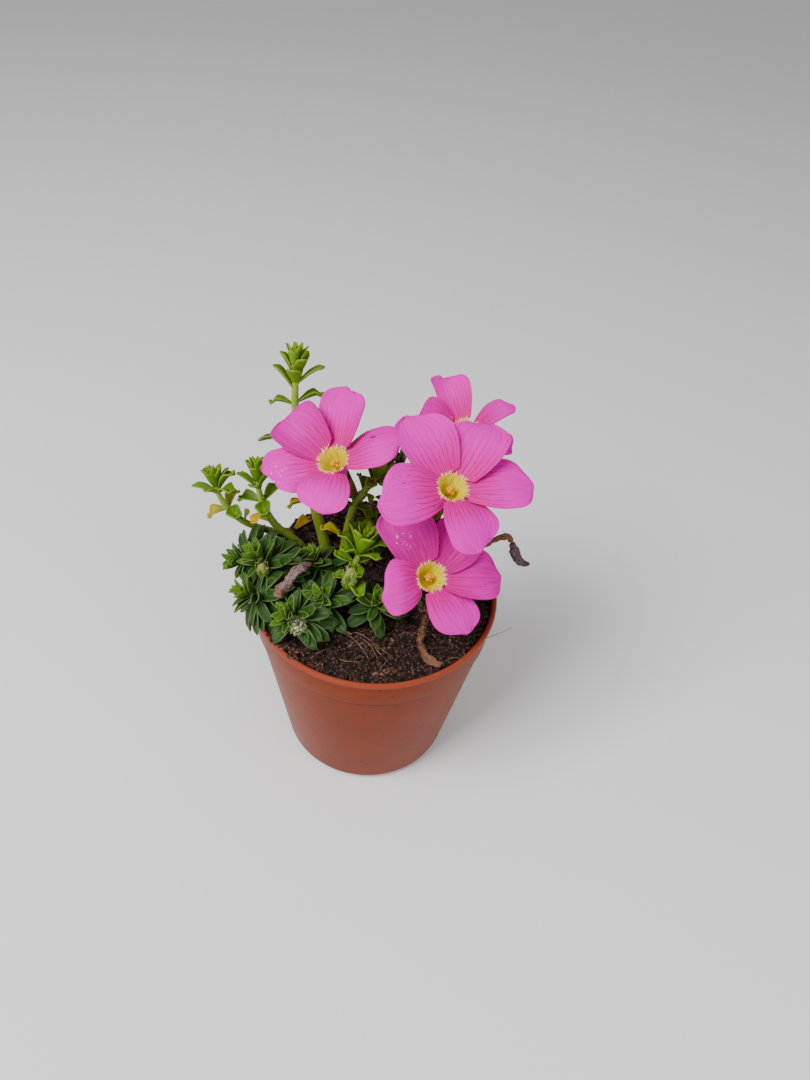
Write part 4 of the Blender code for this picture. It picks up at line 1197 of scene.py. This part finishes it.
def tall_shoots():
    """The five bright green upright shoots. Their heads are given, the leaves below set by the solids.

    Each row: name, foot, stem and its radii, the leaves that the solid has, then the extra ones."""
    rows = (
        ("shoot_back_left", (-12.0, 6.5),
         [(-15.2, 10.0, 61.6), (-18.0, 13.6, 71.6), (-19.8, 15.0, 82.4), (-19.6, 15.0, 91.9),
          (-19.7, 15.0, 95.2)],
         [1.3, 1.25, 1.15, 0.95, 0.8, 0.65, 0.3],
         ring(0.33, 2, 100, 60, 4.6, 2.6),
         singles((0.49, 178, 88, 8.8, 3.6, "strap"), (0.63, 180, 74, 5.2, 3.0), (0.64, 14, 60, 6.0, 3.0),
                 (0.63, 262, 78, 4.8, 3.0), (0.70, 182, 40, 6.4, 3.2, "strap"),
                 (0.73, 2, 42, 6.8, 3.2, "strap"), (0.72, 100, 34, 5.6, 2.8, "strap"),
                 (0.73, 265, 36, 5.2, 3.0, "strap")) + shoot_head(0.77, 0.90, 60, 5.2)),
        ("shoot_left", (-17.0, 5.5),
         [(-23.1, 5.0, 59.2), (-25.8, 5.0, 66.3), (-26.5, 5.4, 72.6)],
         [1.0, 0.95, 0.85, 0.7, 0.35],
         ring(0.62, 3, 170, 68, 5.4, 3.4) + singles((0.36, 150, 60, 4.0, 2.6)),
         singles((0.80, 180, 46, 5.4, 2.8, "strap"), (0.82, 0, 38, 5.2, 2.8, "strap"),
                 (0.80, 270, 54, 4.2, 2.8, "strap")) + shoot_head(0.87, 0.98, 30, 4.8)),
        ("shoot_far_left", (-20.5, 9.0),
         [(-24.5, 7.6, 54.6), (-30.5, 5.8, 58.5), (-34.2, 5.0, 64.4), (-35.6, 5.0, 69.4)],
         [0.9, 0.9, 0.85, 0.75, 0.65, 0.35],
         ring(0.66, 3, 195, 74, 4.8, 3.2) + singles((0.48, 10, 60, 4.2, 2.6)),
         singles((0.85, 182, 52, 5.6, 2.8, "strap"), (0.88, 8, 38, 5.8, 3.2), (0.86, 330, 66, 5.4, 3.2),
                 (0.86, 255, 55, 4.2, 2.2, "strap")) + shoot_head(0.91, 0.99, 20, 4.6)),
        ("shoot_middle", (-8.0, 4.5),
         [(-7.4, 5.6, 58.0), (-5.9, 7.0, 65.6), (-2.8, 7.2, 71.4), (-1.0, 7.4, 74.4)],
         [1.0, 0.95, 0.9, 0.8, 0.7, 0.35],
         ring(0.80, 3, 250, 60, 5.6, 3.2) + ring(0.64, 2, 300, 66, 5.2, 3.0)
         + ring(0.48, 3, 200, 66, 5.0, 3.0),
         singles((0.86, 200, 44, 5.6, 2.8, "strap"), (0.87, 20, 40, 5.4, 2.8, "strap"))
         + shoot_head(0.86, 0.99, 120, 5.8)),
        ("shoot_front", (-5.5, -6.0),
         [(-5.0, -6.3, 57.0), (-3.2, -6.5, 65.2)],
         [0.9, 0.88, 0.8, 0.4],
         ring(0.74, 3, 170, 70, 5.8, 3.4) + ring(0.42, 3, 300, 64, 5.6, 3.6),
         singles((0.90, 168, 46, 6.4, 3.0), (0.92, 10, 42, 6.4, 3.0), (0.90, 320, 60, 5.6, 3.0),
                 (0.90, 215, 54, 5.2, 3.0)) + shoot_head(0.92, 0.99, 40, 6.4)),
    )
    return [Shoot(name, "fresh_green", *row) for name, *row in rows]


def rosette(name, root, neck, head, count, turn, length, skirt=0, width=2.9):
    """A dark rosette of narrow leaves on a short stem, lowest and longest leaves outermost.

    A skirt is a number of further leaves that hang down round its foot."""
    lowest, topmost = length
    leaves = spiral(0.45, 0.99, count, turn, (98, 10), length, (width, width * 0.6))
    extra = spiral(0.5, 0.97, count, turn + 68, (104, 22), (lowest * 0.92, topmost * 0.95),
                   (width * 0.9, width * 0.55))
    extra += spiral(0.93, 0.995, 8, turn + 30, (30, 3), (topmost * 0.9, topmost * 0.6), (1.3, 0.9), "slim")
    for at, swing, spread, long, broad in SKIRT_RINGS:
        extra += ring(at, skirt, turn + swing, spread, lowest * long, width * broad, "narrow")
    return Shoot("rosette_" + name, "dark_green", root, [neck, head], [0.9, 0.85, 0.75, 0.5], leaves, extra)


def rosettes():
    """The dark rosettes: the clump at the left, and those between and behind the blooms."""
    rows = (
        ("left", (-17.0, -3.0), (-21.5, -3.8, 53.5), (-25.0, -4.8, 58.6), 17, 25, (8.4, 4.2), 8),
        ("outer_left", (-20.0, 2.5), (-25.5, 0.5, 52.6), (-29.8, -2.6, 54.6), 13, 70, (7.8, 4.0), 8),
        ("low_left", (-19.0, -8.5), (-22.5, -9.2, 50.6), (-26.2, -10.2, 52.8), 13, 10, (8.2, 4.2), 9),
        ("front_left", (-12.5, -12.0), (-14.5, -14.0, 50.5), (-16.4, -15.8, 53.4), 14, 50, (8.0, 4.0), 6),
        ("inner", (-11.0, -1.0), (-12.5, -0.8, 52.0), (-13.8, -0.8, 55.6), 12, 5, (7.0, 3.6)),
        ("centre", (-9.0, -7.5), (-9.6, -9.4, 50.6), (-10.7, -11.0, 54.0), 14, 35, (8.2, 4.0)),
        ("front", (0.5, -7.5), (0.9, -8.8, 50.6), (1.2, -10.0, 53.8), 12, 80, (7.4, 3.6)),
        ("behind", (-2.5, 6.5), (-1.8, 6.4, 56.0), (-1.3, 5.6, 63.2), 11, 15, (6.6, 3.4), 0, 2.3),
    )
    return [rosette(*row) for row in rows]


def flower_stems():
    """Leafy stems that carry the blooms at the right and stand behind them."""
    rows = (
        ("tall_dark", (4.0, 9.5), [(3.7, 10.6, 62.0), (3.1, 12.0, 76.4)], [1.0, 0.95, 0.8, 0.5],
         (0.35, 0.99), 14, 0, (80, 14), (6.4, 4.0)),
        ("right", (9.5, 3.4), [(10.4, 3.2, 58.0), (10.9, 2.9, 64.0)], [0.95, 0.9, 0.8, 0.6],
         (0.35, 0.97), 9, 40, (84, 34), (6.4, 4.6)),
        ("low_right", (7.0, -1.0), [(7.3, -2.0, 49.9), (7.5, -2.5, 50.6)], [0.8, 0.75, 0.7],
         (0.25, 0.9), 5, 120, (84, 60), (5.6, 4.6)),
        ("back_right", (13.5, 13.5), [(15.0, 16.0, 57.0), (17.0, 18.3, 64.0)], [0.95, 0.9, 0.8, 0.6],
         (0.3, 0.97), 9, 75, (84, 34), (6.4, 4.4)),
    )
    return [Shoot("stem_" + name, "dark_green", root, through, radii,
                  spiral(low, high, count, turn, spread, length, STEM_LEAF_WIDTHS),
                  spiral(low, high - 0.04, count, turn + 68, spread, length, STEM_LEAF_WIDTHS))
            for name, root, through, radii, (low, high), count, turn, spread, length in rows]


# Blooms

def petal_spread(share, fullness):
    """A petal's width at a share of its length: a wedge that ends in a lobe, blunter when fuller."""
    if share < PETAL_BELLY:
        rise = math.sin(math.pi / 2 * share / PETAL_BELLY) ** 0.9
        return PETAL_FOOT_WIDTH + (1 - PETAL_FOOT_WIDTH) * rise
    past = (share - PETAL_BELLY) / (1 - PETAL_BELLY)
    return max(PETAL_TIP_WIDTH, (1 - past ** fullness) ** 0.55)


def petal_sheet(turn, reach, width, spec, painted_shade, mark):
    """One petal in its bloom's own millimetres: a grid whose points follow the petal's curves.

    The slant pulls the tip to one side, where it ends in a corner."""
    lift, curl, fold, slant = spec
    sheet = primitive("petal", bpy.ops.mesh.primitive_grid_add, x_subdivisions=14, y_subdivisions=22, size=1)
    angle = math.radians(turn)
    out, side = spoke_at(angle, EAST, NORTH), spoke_at(angle, NORTH, -EAST)
    start = THROAT_RADIUS - PETAL_ROOT
    places = []
    marks = []
    for vertex in sheet.data.vertices:
        c = vertex.co.x * 2
        share = 1 - (0.5 - vertex.co.y) ** 1.35
        to_corner = c * slant
        spread = petal_spread(share, max(1.8, 2.6 + 1.8 * to_corner))
        half = width / 2 * spread
        r = start + (reach - start) * share - 0.5 * abs(c) ** 2 * share ** 5
        r += to_corner * PETAL_SKEW * share ** 4
        rise = lift * math.sin(min(1.0, share * 1.15) * math.pi / 2) - curl * share ** 3
        rise += fold * c * c * spread - PETAL_TWIST * c * half * (1 - 0.35 * share)
        ripple = noise.noise(Vector((share * 3.1, c * 1.4, turn * 0.37)))
        rise += ripple * (0.35 + 0.5 * abs(c) ** 3) * share
        sideways = half * c + slant * 1.1 * share ** 3
        vertex.co = out * r + side * sideways + Vector((0, 0, rise - 0.4))
        places.append((share, c, painted_shade))
        marks.append((r - mark[0], side.dot(vertex.co) - mark[1], mark[2]))
    paint_points(sheet, "petal", places)
    paint_points(sheet, "mark", marks)
    apply_modifier(sheet, "SOLIDIFY", thickness=PETAL_THICKNESS, offset=0.0, material_offset=1)
    shade_smooth(sheet, 50)
    return give_finish(sheet, PETAL_FACE, PETAL_BACK)


def bud_piece(foot, tip, radius, sepals, hairs=60, finish=BUD):
    """A closed bud: a plump body with sepals wrapped round it, and hairs all over."""
    start = Vector(foot)
    axis = Vector(tip) - start
    length = axis.length
    axis.normalize()
    sides = side_vectors(axis)
    profile = [(radius * spread, length * rise) for spread, rise in BUD_PROFILE]
    body = turned("bud", profile, 20, frame_matrix(*sides, axis, start))
    members = [give_finish(body, finish)]
    for i in range(sepals):
        spoke = spoke_at(math.tau * i / sepals, *sides)
        root = start + axis * length * 0.02 + spoke * radius * 0.5
        end = start + axis * length * chance.uniform(0.84, 1.02) + spoke * radius * 0.62
        aim = (end - root).normalized()
        face = (axis * aim.dot(spoke) - spoke * aim.dot(axis)).normalized()
        members.append(leaflet_copy("sepal", root + spoke * radius * 0.42, aim, face, (end - root).length,
                                    radius * 1.15, (0.35, chance.random(), 0.0), (FRESH_BACK, FRESH_BACK)))
    for _ in range(hairs):
        t = chance.uniform(0.05, 0.98)
        spoke = spoke_at(any_angle(), *sides)
        bulge = radius * math.sin(math.pi * min(0.98, t * 0.9 + 0.08)) ** 0.5
        aim = (spoke + axis * chance.uniform(-0.2, 1.0)).normalized()
        members.append(hair_copy(start + axis * length * t + spoke * bulge * 0.95, aim,
                                 chance.uniform(0.4, 0.9)))
    return members


class Bloom:
    """Five petals joined in a funnel, the stamens in its throat, and the calyx under it."""

    def __init__(self, name, centre, axis, reach, width, marks, petals):
        self.name = name
        self.centre = Vector(centre)
        self.axis = Vector(axis).normalized()
        self.reach = reach
        self.width = width
        self.marks = marks
        self.petals = petals
        right = (EAST - self.axis * EAST.dot(self.axis)).normalized()
        self.matrix = frame_matrix(right, self.axis.cross(right), self.axis, self.centre)

    def at(self, height):
        return self.centre + self.axis * height

    def build_petals(self):
        funnel = turned("funnel", FUNNEL_PROFILE, 40, Matrix.Identity(4), 70)
        paint(funnel, "petal", (0.0, 0.35, 0.0))
        paint(funnel, "mark", NO_MARK)
        give_finish(funnel, PETAL_FACE, PETAL_BACK)
        for face in funnel.data.polygons:
            outward = Vector((face.center.x, face.center.y, 0)).dot(face.normal) > 0
            face.material_index = int(outward and face.center.z < -0.2)
        members = [funnel]
        for i, (turn, length, spec, painted_shade) in enumerate(self.petals):
            mark = self.marks.get(i, NO_MARK)
            members.append(petal_sheet(turn, self.reach * length, self.width, spec, painted_shade, mark))
        bloom = joined(self.name + "_petal_surface", members)
        paint_points(bloom, "local", [vertex.co.copy() for vertex in bloom.data.vertices])
        bloom.data.transform(self.matrix)
        stand_for(bloom, "pink_petal", self.name + "_petals")

    def build_stamens(self):
        """Five plump anthers low in the throat, each on its filament, and the stigmas between."""
        members = []
        for i in range(ANTHERS + 1):
            angle = math.tau * i / ANTHERS + 0.4
            middle = i == ANTHERS
            spoke = spoke_at(angle, EAST, NORTH) * (0.0 if middle else ANTHER_RING)
            height = STIGMA_HEIGHT if middle else ANTHER_HEIGHT + 0.3 * math.sin(angle * 2)
            head = spoke + Vector((0, 0, height))
            foot = spoke * 0.5 + Vector((0, 0, GAP - CUP_DEPTH))
            anther = primitive("anther", bpy.ops.mesh.primitive_uv_sphere_add, segments=12, ring_count=8,
                               radius=ANTHER_RADIUS * MM, location=head * MM)
            edit(anther)
            bpy.ops.mesh.select_all(action="SELECT")
            bpy.ops.transform.resize(value=(1.0, 0.78, 1.35), center_override=head * MM)
            select_points(anther, lambda p: abs(p.y / MM - head.y) < 0.08)
            bpy.ops.transform.resize(value=(0.8, 1.0, 0.94), center_override=head * MM)
            leave_edit()
            shade_smooth(anther)
            members += [tube("filament", [foot, head * 0.98], [0.11, 0.11], 0), anther]
        stamens = joined(self.name + "_anthers", members)
        stamens.data.transform(self.matrix @ Matrix.Scale(1 / MM, 4))
        stand_for(give_finish(stamens, STAMENS), "golden_stamen", self.name + "_stamens")

    def calyx(self, stalk_from):
        """The flower stalk, its swollen top and five sepals, for the shoot that bears the bloom."""
        seat = -TUBE_LENGTH - GAP
        foot = seat - 2.0
        sides = side_vectors(self.axis)
        profile = [(0.0, foot), (0.55, foot), (0.9, seat - 1.5), (CALYX_RADIUS + 0.05, seat - 0.8),
                   (CALYX_RADIUS + 0.1, seat), (0.0, seat)]
        cup = turned("calyx", profile, 16, frame_matrix(*sides, self.axis, self.centre))
        start = Vector(stalk_from)
        bend = self.at(foot - 2.0).lerp(start, 0.35)
        stalk = tube("flower stalk", smooth_path([start, bend, self.at(foot + 0.6)], 6), STALK_RADII)
        members = [shaded(cup, MIDDLE_SHADE, CALYX), shaded(stalk, MIDDLE_SHADE, FRESH_STEM)]
        for i in range(SEPALS):
            spoke = spoke_at(math.tau * (i + 0.25) / SEPALS, *sides)
            aim = self.axis * math.cos(SEPAL_TILT) + spoke * math.sin(SEPAL_TILT)
            face = self.axis * math.sin(SEPAL_TILT) - spoke * math.cos(SEPAL_TILT)
            base = self.at(seat - 0.5) + spoke * CALYX_RADIUS
            members.append(leaflet_copy("sepal", base, aim, face, SEPAL_LENGTH, SEPAL_WIDTH,
                                        (0.5, chance.random(), 0.0), (OLIVE_SEPAL, OLIVE_SEPAL)))
        return members


# Each bloom: its centre, axis, petals' reach and width, its marks, and its petals.
# A mark: on which petal, how far out and to its side, then 0 a spot, 1 grey strokes, 2 pale specks.
# A petal: its turn, its share of the reach, its lift, curl, fold and slant, and how much painted shade
# darkens it.
BLOOMS = [
    Bloom("bloom_1", (-10.3, 2.5, 80.7), (-0.264, -0.344, 0.901), 15.0, 10.4,
          {1: (8.8, 2.2, 0.0), 3: (11.5, 0.5, 2.0)},
          ((80, 1.06, (3.4, 1.2, 1.5, 0.8), 0.0),
           (12, 0.97, (2.6, 1.6, -0.9, 0.3), 0.05),
           (264, 0.82, (2.4, 1.8, -0.8, 0.3), 0.0),
           (199, 0.93, (2.6, 1.0, -0.6, -0.9), 0.12),
           (141, 0.90, (4.0, 0.8, 2.4, 0.4), 0.40))),
    Bloom("bloom_2", (13.9, -2.0, 80.5), (0.219, -0.360, 0.907), 16.2, 11.8, {4: (10.5, -2.5, 1.0)},
          ((130, 1.02, (3.4, 1.0, 0.8, 0.5), 0.0),
           (71, 0.98, (3.8, 1.2, 0.8, -0.8), 0.04),
           (14, 1.03, (2.8, 1.4, -0.6, -0.2), 0.0),
           (299, 0.89, (2.4, 1.4, -0.7, -0.7), 0.0),
           (203, 1.00, (2.6, 1.2, -0.6, 0.9), 0.0))),
    Bloom("bloom_3", (11.7, -10.0, 63.2), (0.287, -0.511, 0.810), 14.6, 10.8, {0: (9.5, 2.0, 2.0)},
          ((130, 1.04, (3.6, 0.6, 1.0, 1.2), 0.50),
           (62, 0.90, (2.6, 1.0, 0.6, 0.3), 0.75),
           (10, 1.01, (3.0, 1.2, 0.6, -0.3), 0.45),
           (306, 0.93, (2.4, 1.4, -0.6, 0.4), 0.10),
           (204, 0.78, (2.4, 1.2, -0.7, 0.8), 0.15))),
    Bloom("bloom_4", (15.8, 17.8, 80.5), (-0.141, -0.041, 0.989), 13.0, 7.6, {},
          ((107, 1.02, (5.4, 0.4, 1.2, 1.0), 0.05),
           (22, 0.84, (4.6, 1.0, -0.6, -0.5), 0.08),
           (319, 1.06, (3.6, 1.6, -0.6, -0.8), 0.05),
           (235, 1.00, (3.6, 1.2, -0.4, 0.6), 0.1),
           (176, 0.74, (3.6, 0.0, 2.0, 0.2), 0.5))),
]


# Withered pieces and faded leaves

# Each: the solid it stands for, its slot and finish, its path, and its radii from foot to tip
WITHERED = [
    ("spent_bloom_left", "withered_brown", DRY_TWO_TONED,
     [(-14.0, -3.6, 56.6), (-15.6, -6.6, 58.1), (-17.6, -9.4, 57.0), (-19.0, -11.4, 56.1),
      (-19.4, -12.8, 55.2)], [0.35, 0.95, 1.0, 1.0, 1.15, 0.9]),
    ("withered_stalk_right", "withered_brown", DRY_BROWN,
     [on_soil(14.5, 4.5, 0.4), (19.0, 2.6, 57.6), (23.7, 1.2, 63.8), (26.4, 1.0, 66.2),
      (27.9, 0.9, 65.0)], [0.6, 0.5, 0.5, 0.75, 0.6]),
    ("withered_bloom_right", "withered_purple", DRY_PURPLE,
     [(28.2, 0.9, 64.4), (29.0, 0.9, 62.2), (30.2, 0.8, 60.2), (31.6, 0.8, 59.0), (32.8, 0.8, 58.8)],
     [0.6, 1.05, 0.95, 0.8, 0.3]),
    ("dry_stalk_front", "withered_brown", DRY_BROWN,
     [(12.2, -9.0, 52.4), (11.4, -11.6, 51.0), on_soil(11.0, -14.4, 2.0), on_soil(11.7, -17.0, 1.5),
      on_soil(13.4, -19.2, 1.2), on_soil(15.6, -20.2, 1.2)], [0.4, 0.65, 0.7, 0.8, 1.05, 0.6]),
    ("spent_bloom_middle", "withered_purple", DRY_PURPLE,
     [on_soil(1.6, -2.6, 0.7), (0.9, -3.0, 52.2), (0.2, -3.4, 55.0), (-0.3, -3.9, 56.8)],
     [0.45, 0.5, 1.3, 1.2, 0.5]),
]


def crumpled(here, path):
    """Where a point of a plain tube goes when the tube shrinks and twists, and how far up it is."""
    nearest = min(range(len(path)), key=lambda i: (path[i] - here).length_squared)
    run = nearest / (len(path) - 1)
    ahead = (path[min(nearest + 1, len(path) - 1)] - path[max(nearest - 1, 0)]).normalized()
    across, up = side_vectors(ahead)
    spoke = here - path[nearest]
    angle = math.atan2(spoke.dot(up), spoke.dot(across))
    crease = math.sin(angle * 3 + run * 11.0) * 0.20 + math.sin(angle * 7 - run * 8.0) * 0.10
    lumps = noise.noise(here * 0.8) * 0.30 + noise.noise(here * 2.1) * 0.22
    shift = (across * noise.noise(path[nearest] * 0.6) + up * noise.noise(path[nearest] * 0.7)) * 0.35
    return path[nearest] + shift + spoke * (1.0 + crease + lumps - 0.1), run


def build_withered():
    """Shrunk and twisted tubes: each has ridges that wind round it, and a run from foot to tip."""
    for name, slot, finish, points, radii in WITHERED:
        path = smooth_path(points, 12)
        piece = tube(name + "_shrunk", path, radii, 7)
        runs = []
        for vertex in piece.data.vertices:
            place, run = crumpled(vertex.co / MM, path)
            vertex.co = place * MM
            runs.append((run, 0.5, 0.0))
        paint_points(piece, "shade", runs)
        shade_smooth(piece)
        stand_for(give_finish(piece, finish), slot, name)


# Each: the leaf, the shoot that bears it, its place there as for a leaf, its slot and its finish
HANGING = (
    ("faded_leaf_middle", "shoot_middle", 0.22, 175, 62, 4.6, 3.0, "yellowed_leaf", FADED),
    ("faded_leaf_left", "shoot_left", 0.54, 250, 80, 4.0, 2.6, "yellowed_leaf", FADED),
    ("faded_leaf_far_left", "shoot_far_left", 0.36, 255, 80, 4.2, 2.8, "yellowed_leaf", FADED),
    ("faded_leaf_back_left", "shoot_back_left", 0.22, 190, 84, 4.2, 2.8, "yellowed_leaf", FADED),
    ("withered_leaf_back_left", "shoot_back_left", 0.28, 175, 66, 4.8, 2.4, "withered_brown", WITHERED_LEAF),
)


def build_faded(shoots):
    """Yellowed and withered leaves that still hang on the stems, and one that lies on the soil."""
    by_name = {shoot.name: shoot for shoot in shoots}
    for name, bearer, at, turn, spread, length, width, slot, finish in HANGING:
        shoot = by_name[bearer]
        root, aim, face, axis = leaf_frame(shoot.path, shoot.radii, at, turn, spread)
        outward = (aim - axis * aim.dot(axis)).normalized()
        root = root + outward * (along(shoot.radii, at) * 0.65 + GAP + 0.1)
        found = leaf_on_solid(solid_tree(name), root, aim, face, axis, length, width, "heart")
        aim, face, size = found or (aim, face, 1.0)
        leaf = leaflet_copy("heart", root, aim, face, length * size, width * size,
                            (chance.random(), chance.random(), 0.0), (finish, finish))
        stalk = tube("leaf stalk", [root - aim * 0.7, root + aim * 0.3], [0.16, 0.2], 1)
        stand_for(joined(name + "_blade", [leaf, shaded(stalk, MIDDLE_SHADE, finish)]), slot, name)
    foot, tip = [Vector(on_soil(*place)) for place in FALLEN_LEAF]
    aim = (tip - foot).normalized()
    across = aim.cross(Vector((0, 0, 1))).normalized()
    leaf = leaflet_copy("heart", foot, aim, across.cross(aim), (tip - foot).length, 3.0, (0.7, 0.3, 0.0),
                        (FADED, FADED))
    stand_for(joined("fallen_leaf_blade", [leaf]), "yellowed_leaf", "fallen_leaf")


def build_plant():
    tall, low, bearing = tall_shoots(), rosettes(), flower_stems()
    for bloom in BLOOMS:
        bloom.build_petals()
        bloom.build_stamens()
    bearers = (tall[3], *bearing[1:])
    starts = [tall[3].path[PATH_STEPS * 2]] + [stem.path[-1] for stem in bearing[1:]]
    for bloom, bearer, start in zip(BLOOMS, bearers, starts):
        bearer.borne += bloom.calyx(start)
    tall[4].borne += bud_piece((-5.2, -8.4, 56.2), (-4.6, -9.0, 62.2), 1.6, 5)
    low[0].borne += bud_piece((-23.6, -6.4, 54.6), (-23.4, -8.2, 60.0), 1.3, 5)
    low[3].borne += bud_piece((-14.8, -16.6, 51.0), (-14.4, -18.4, 54.0), 1.8, 6, 160, SCALES)
    shoots = tall + bearing + low
    for shoot in shoots:
        shoot.build()
    build_withered()
    build_faded(shoots)
    remove([HAIR] + [pattern for kind in PATTERNS.values() for pattern in kind])


# Floor, lights and camera

def build_surroundings():
    floor = primitive("floor", bpy.ops.mesh.primitive_plane_add, size=4.0)
    give_finish(floor, Finish("pale floor", 0.9, {"Base Color": (0.86, 0.86, 0.86, 1.0)}))
    world = bpy.data.worlds.new("soft sky")
    world.use_nodes = True
    sky = world.node_tree.nodes["Background"].inputs
    sky["Color"].default_value = (1.0, 1.0, 1.0, 1.0)
    sky["Strength"].default_value = SKY_STRENGTH
    bpy.context.scene.world = world
    for name, place, size, power in LAMPS:
        lamp = bpy.data.lights.new(name, "AREA")
        lamp.size = size
        lamp.energy = power
        light = new_object(name, lamp)
        light.location = place
        to_plant = Vector((0, 0, 0.05)) - light.location
        light.rotation_euler = to_plant.to_track_quat("-Z", "Y").to_euler()


def build_camera():
    lens = bpy.data.cameras.new("camera")
    lens.sensor_width = 36.0
    lens.lens = LENS_LENGTH
    camera = new_object("camera", lens)
    turn = Matrix(CAMERA_AXES).transposed().to_4x4()
    camera.matrix_world = Matrix.Translation(Vector(CAMERA_PLACE) * MM) @ turn
    bpy.context.scene.camera = camera


build_camera()
build_pot()
build_soil_and_crumbs()
build_roots()
build_plant()
build_surroundings()
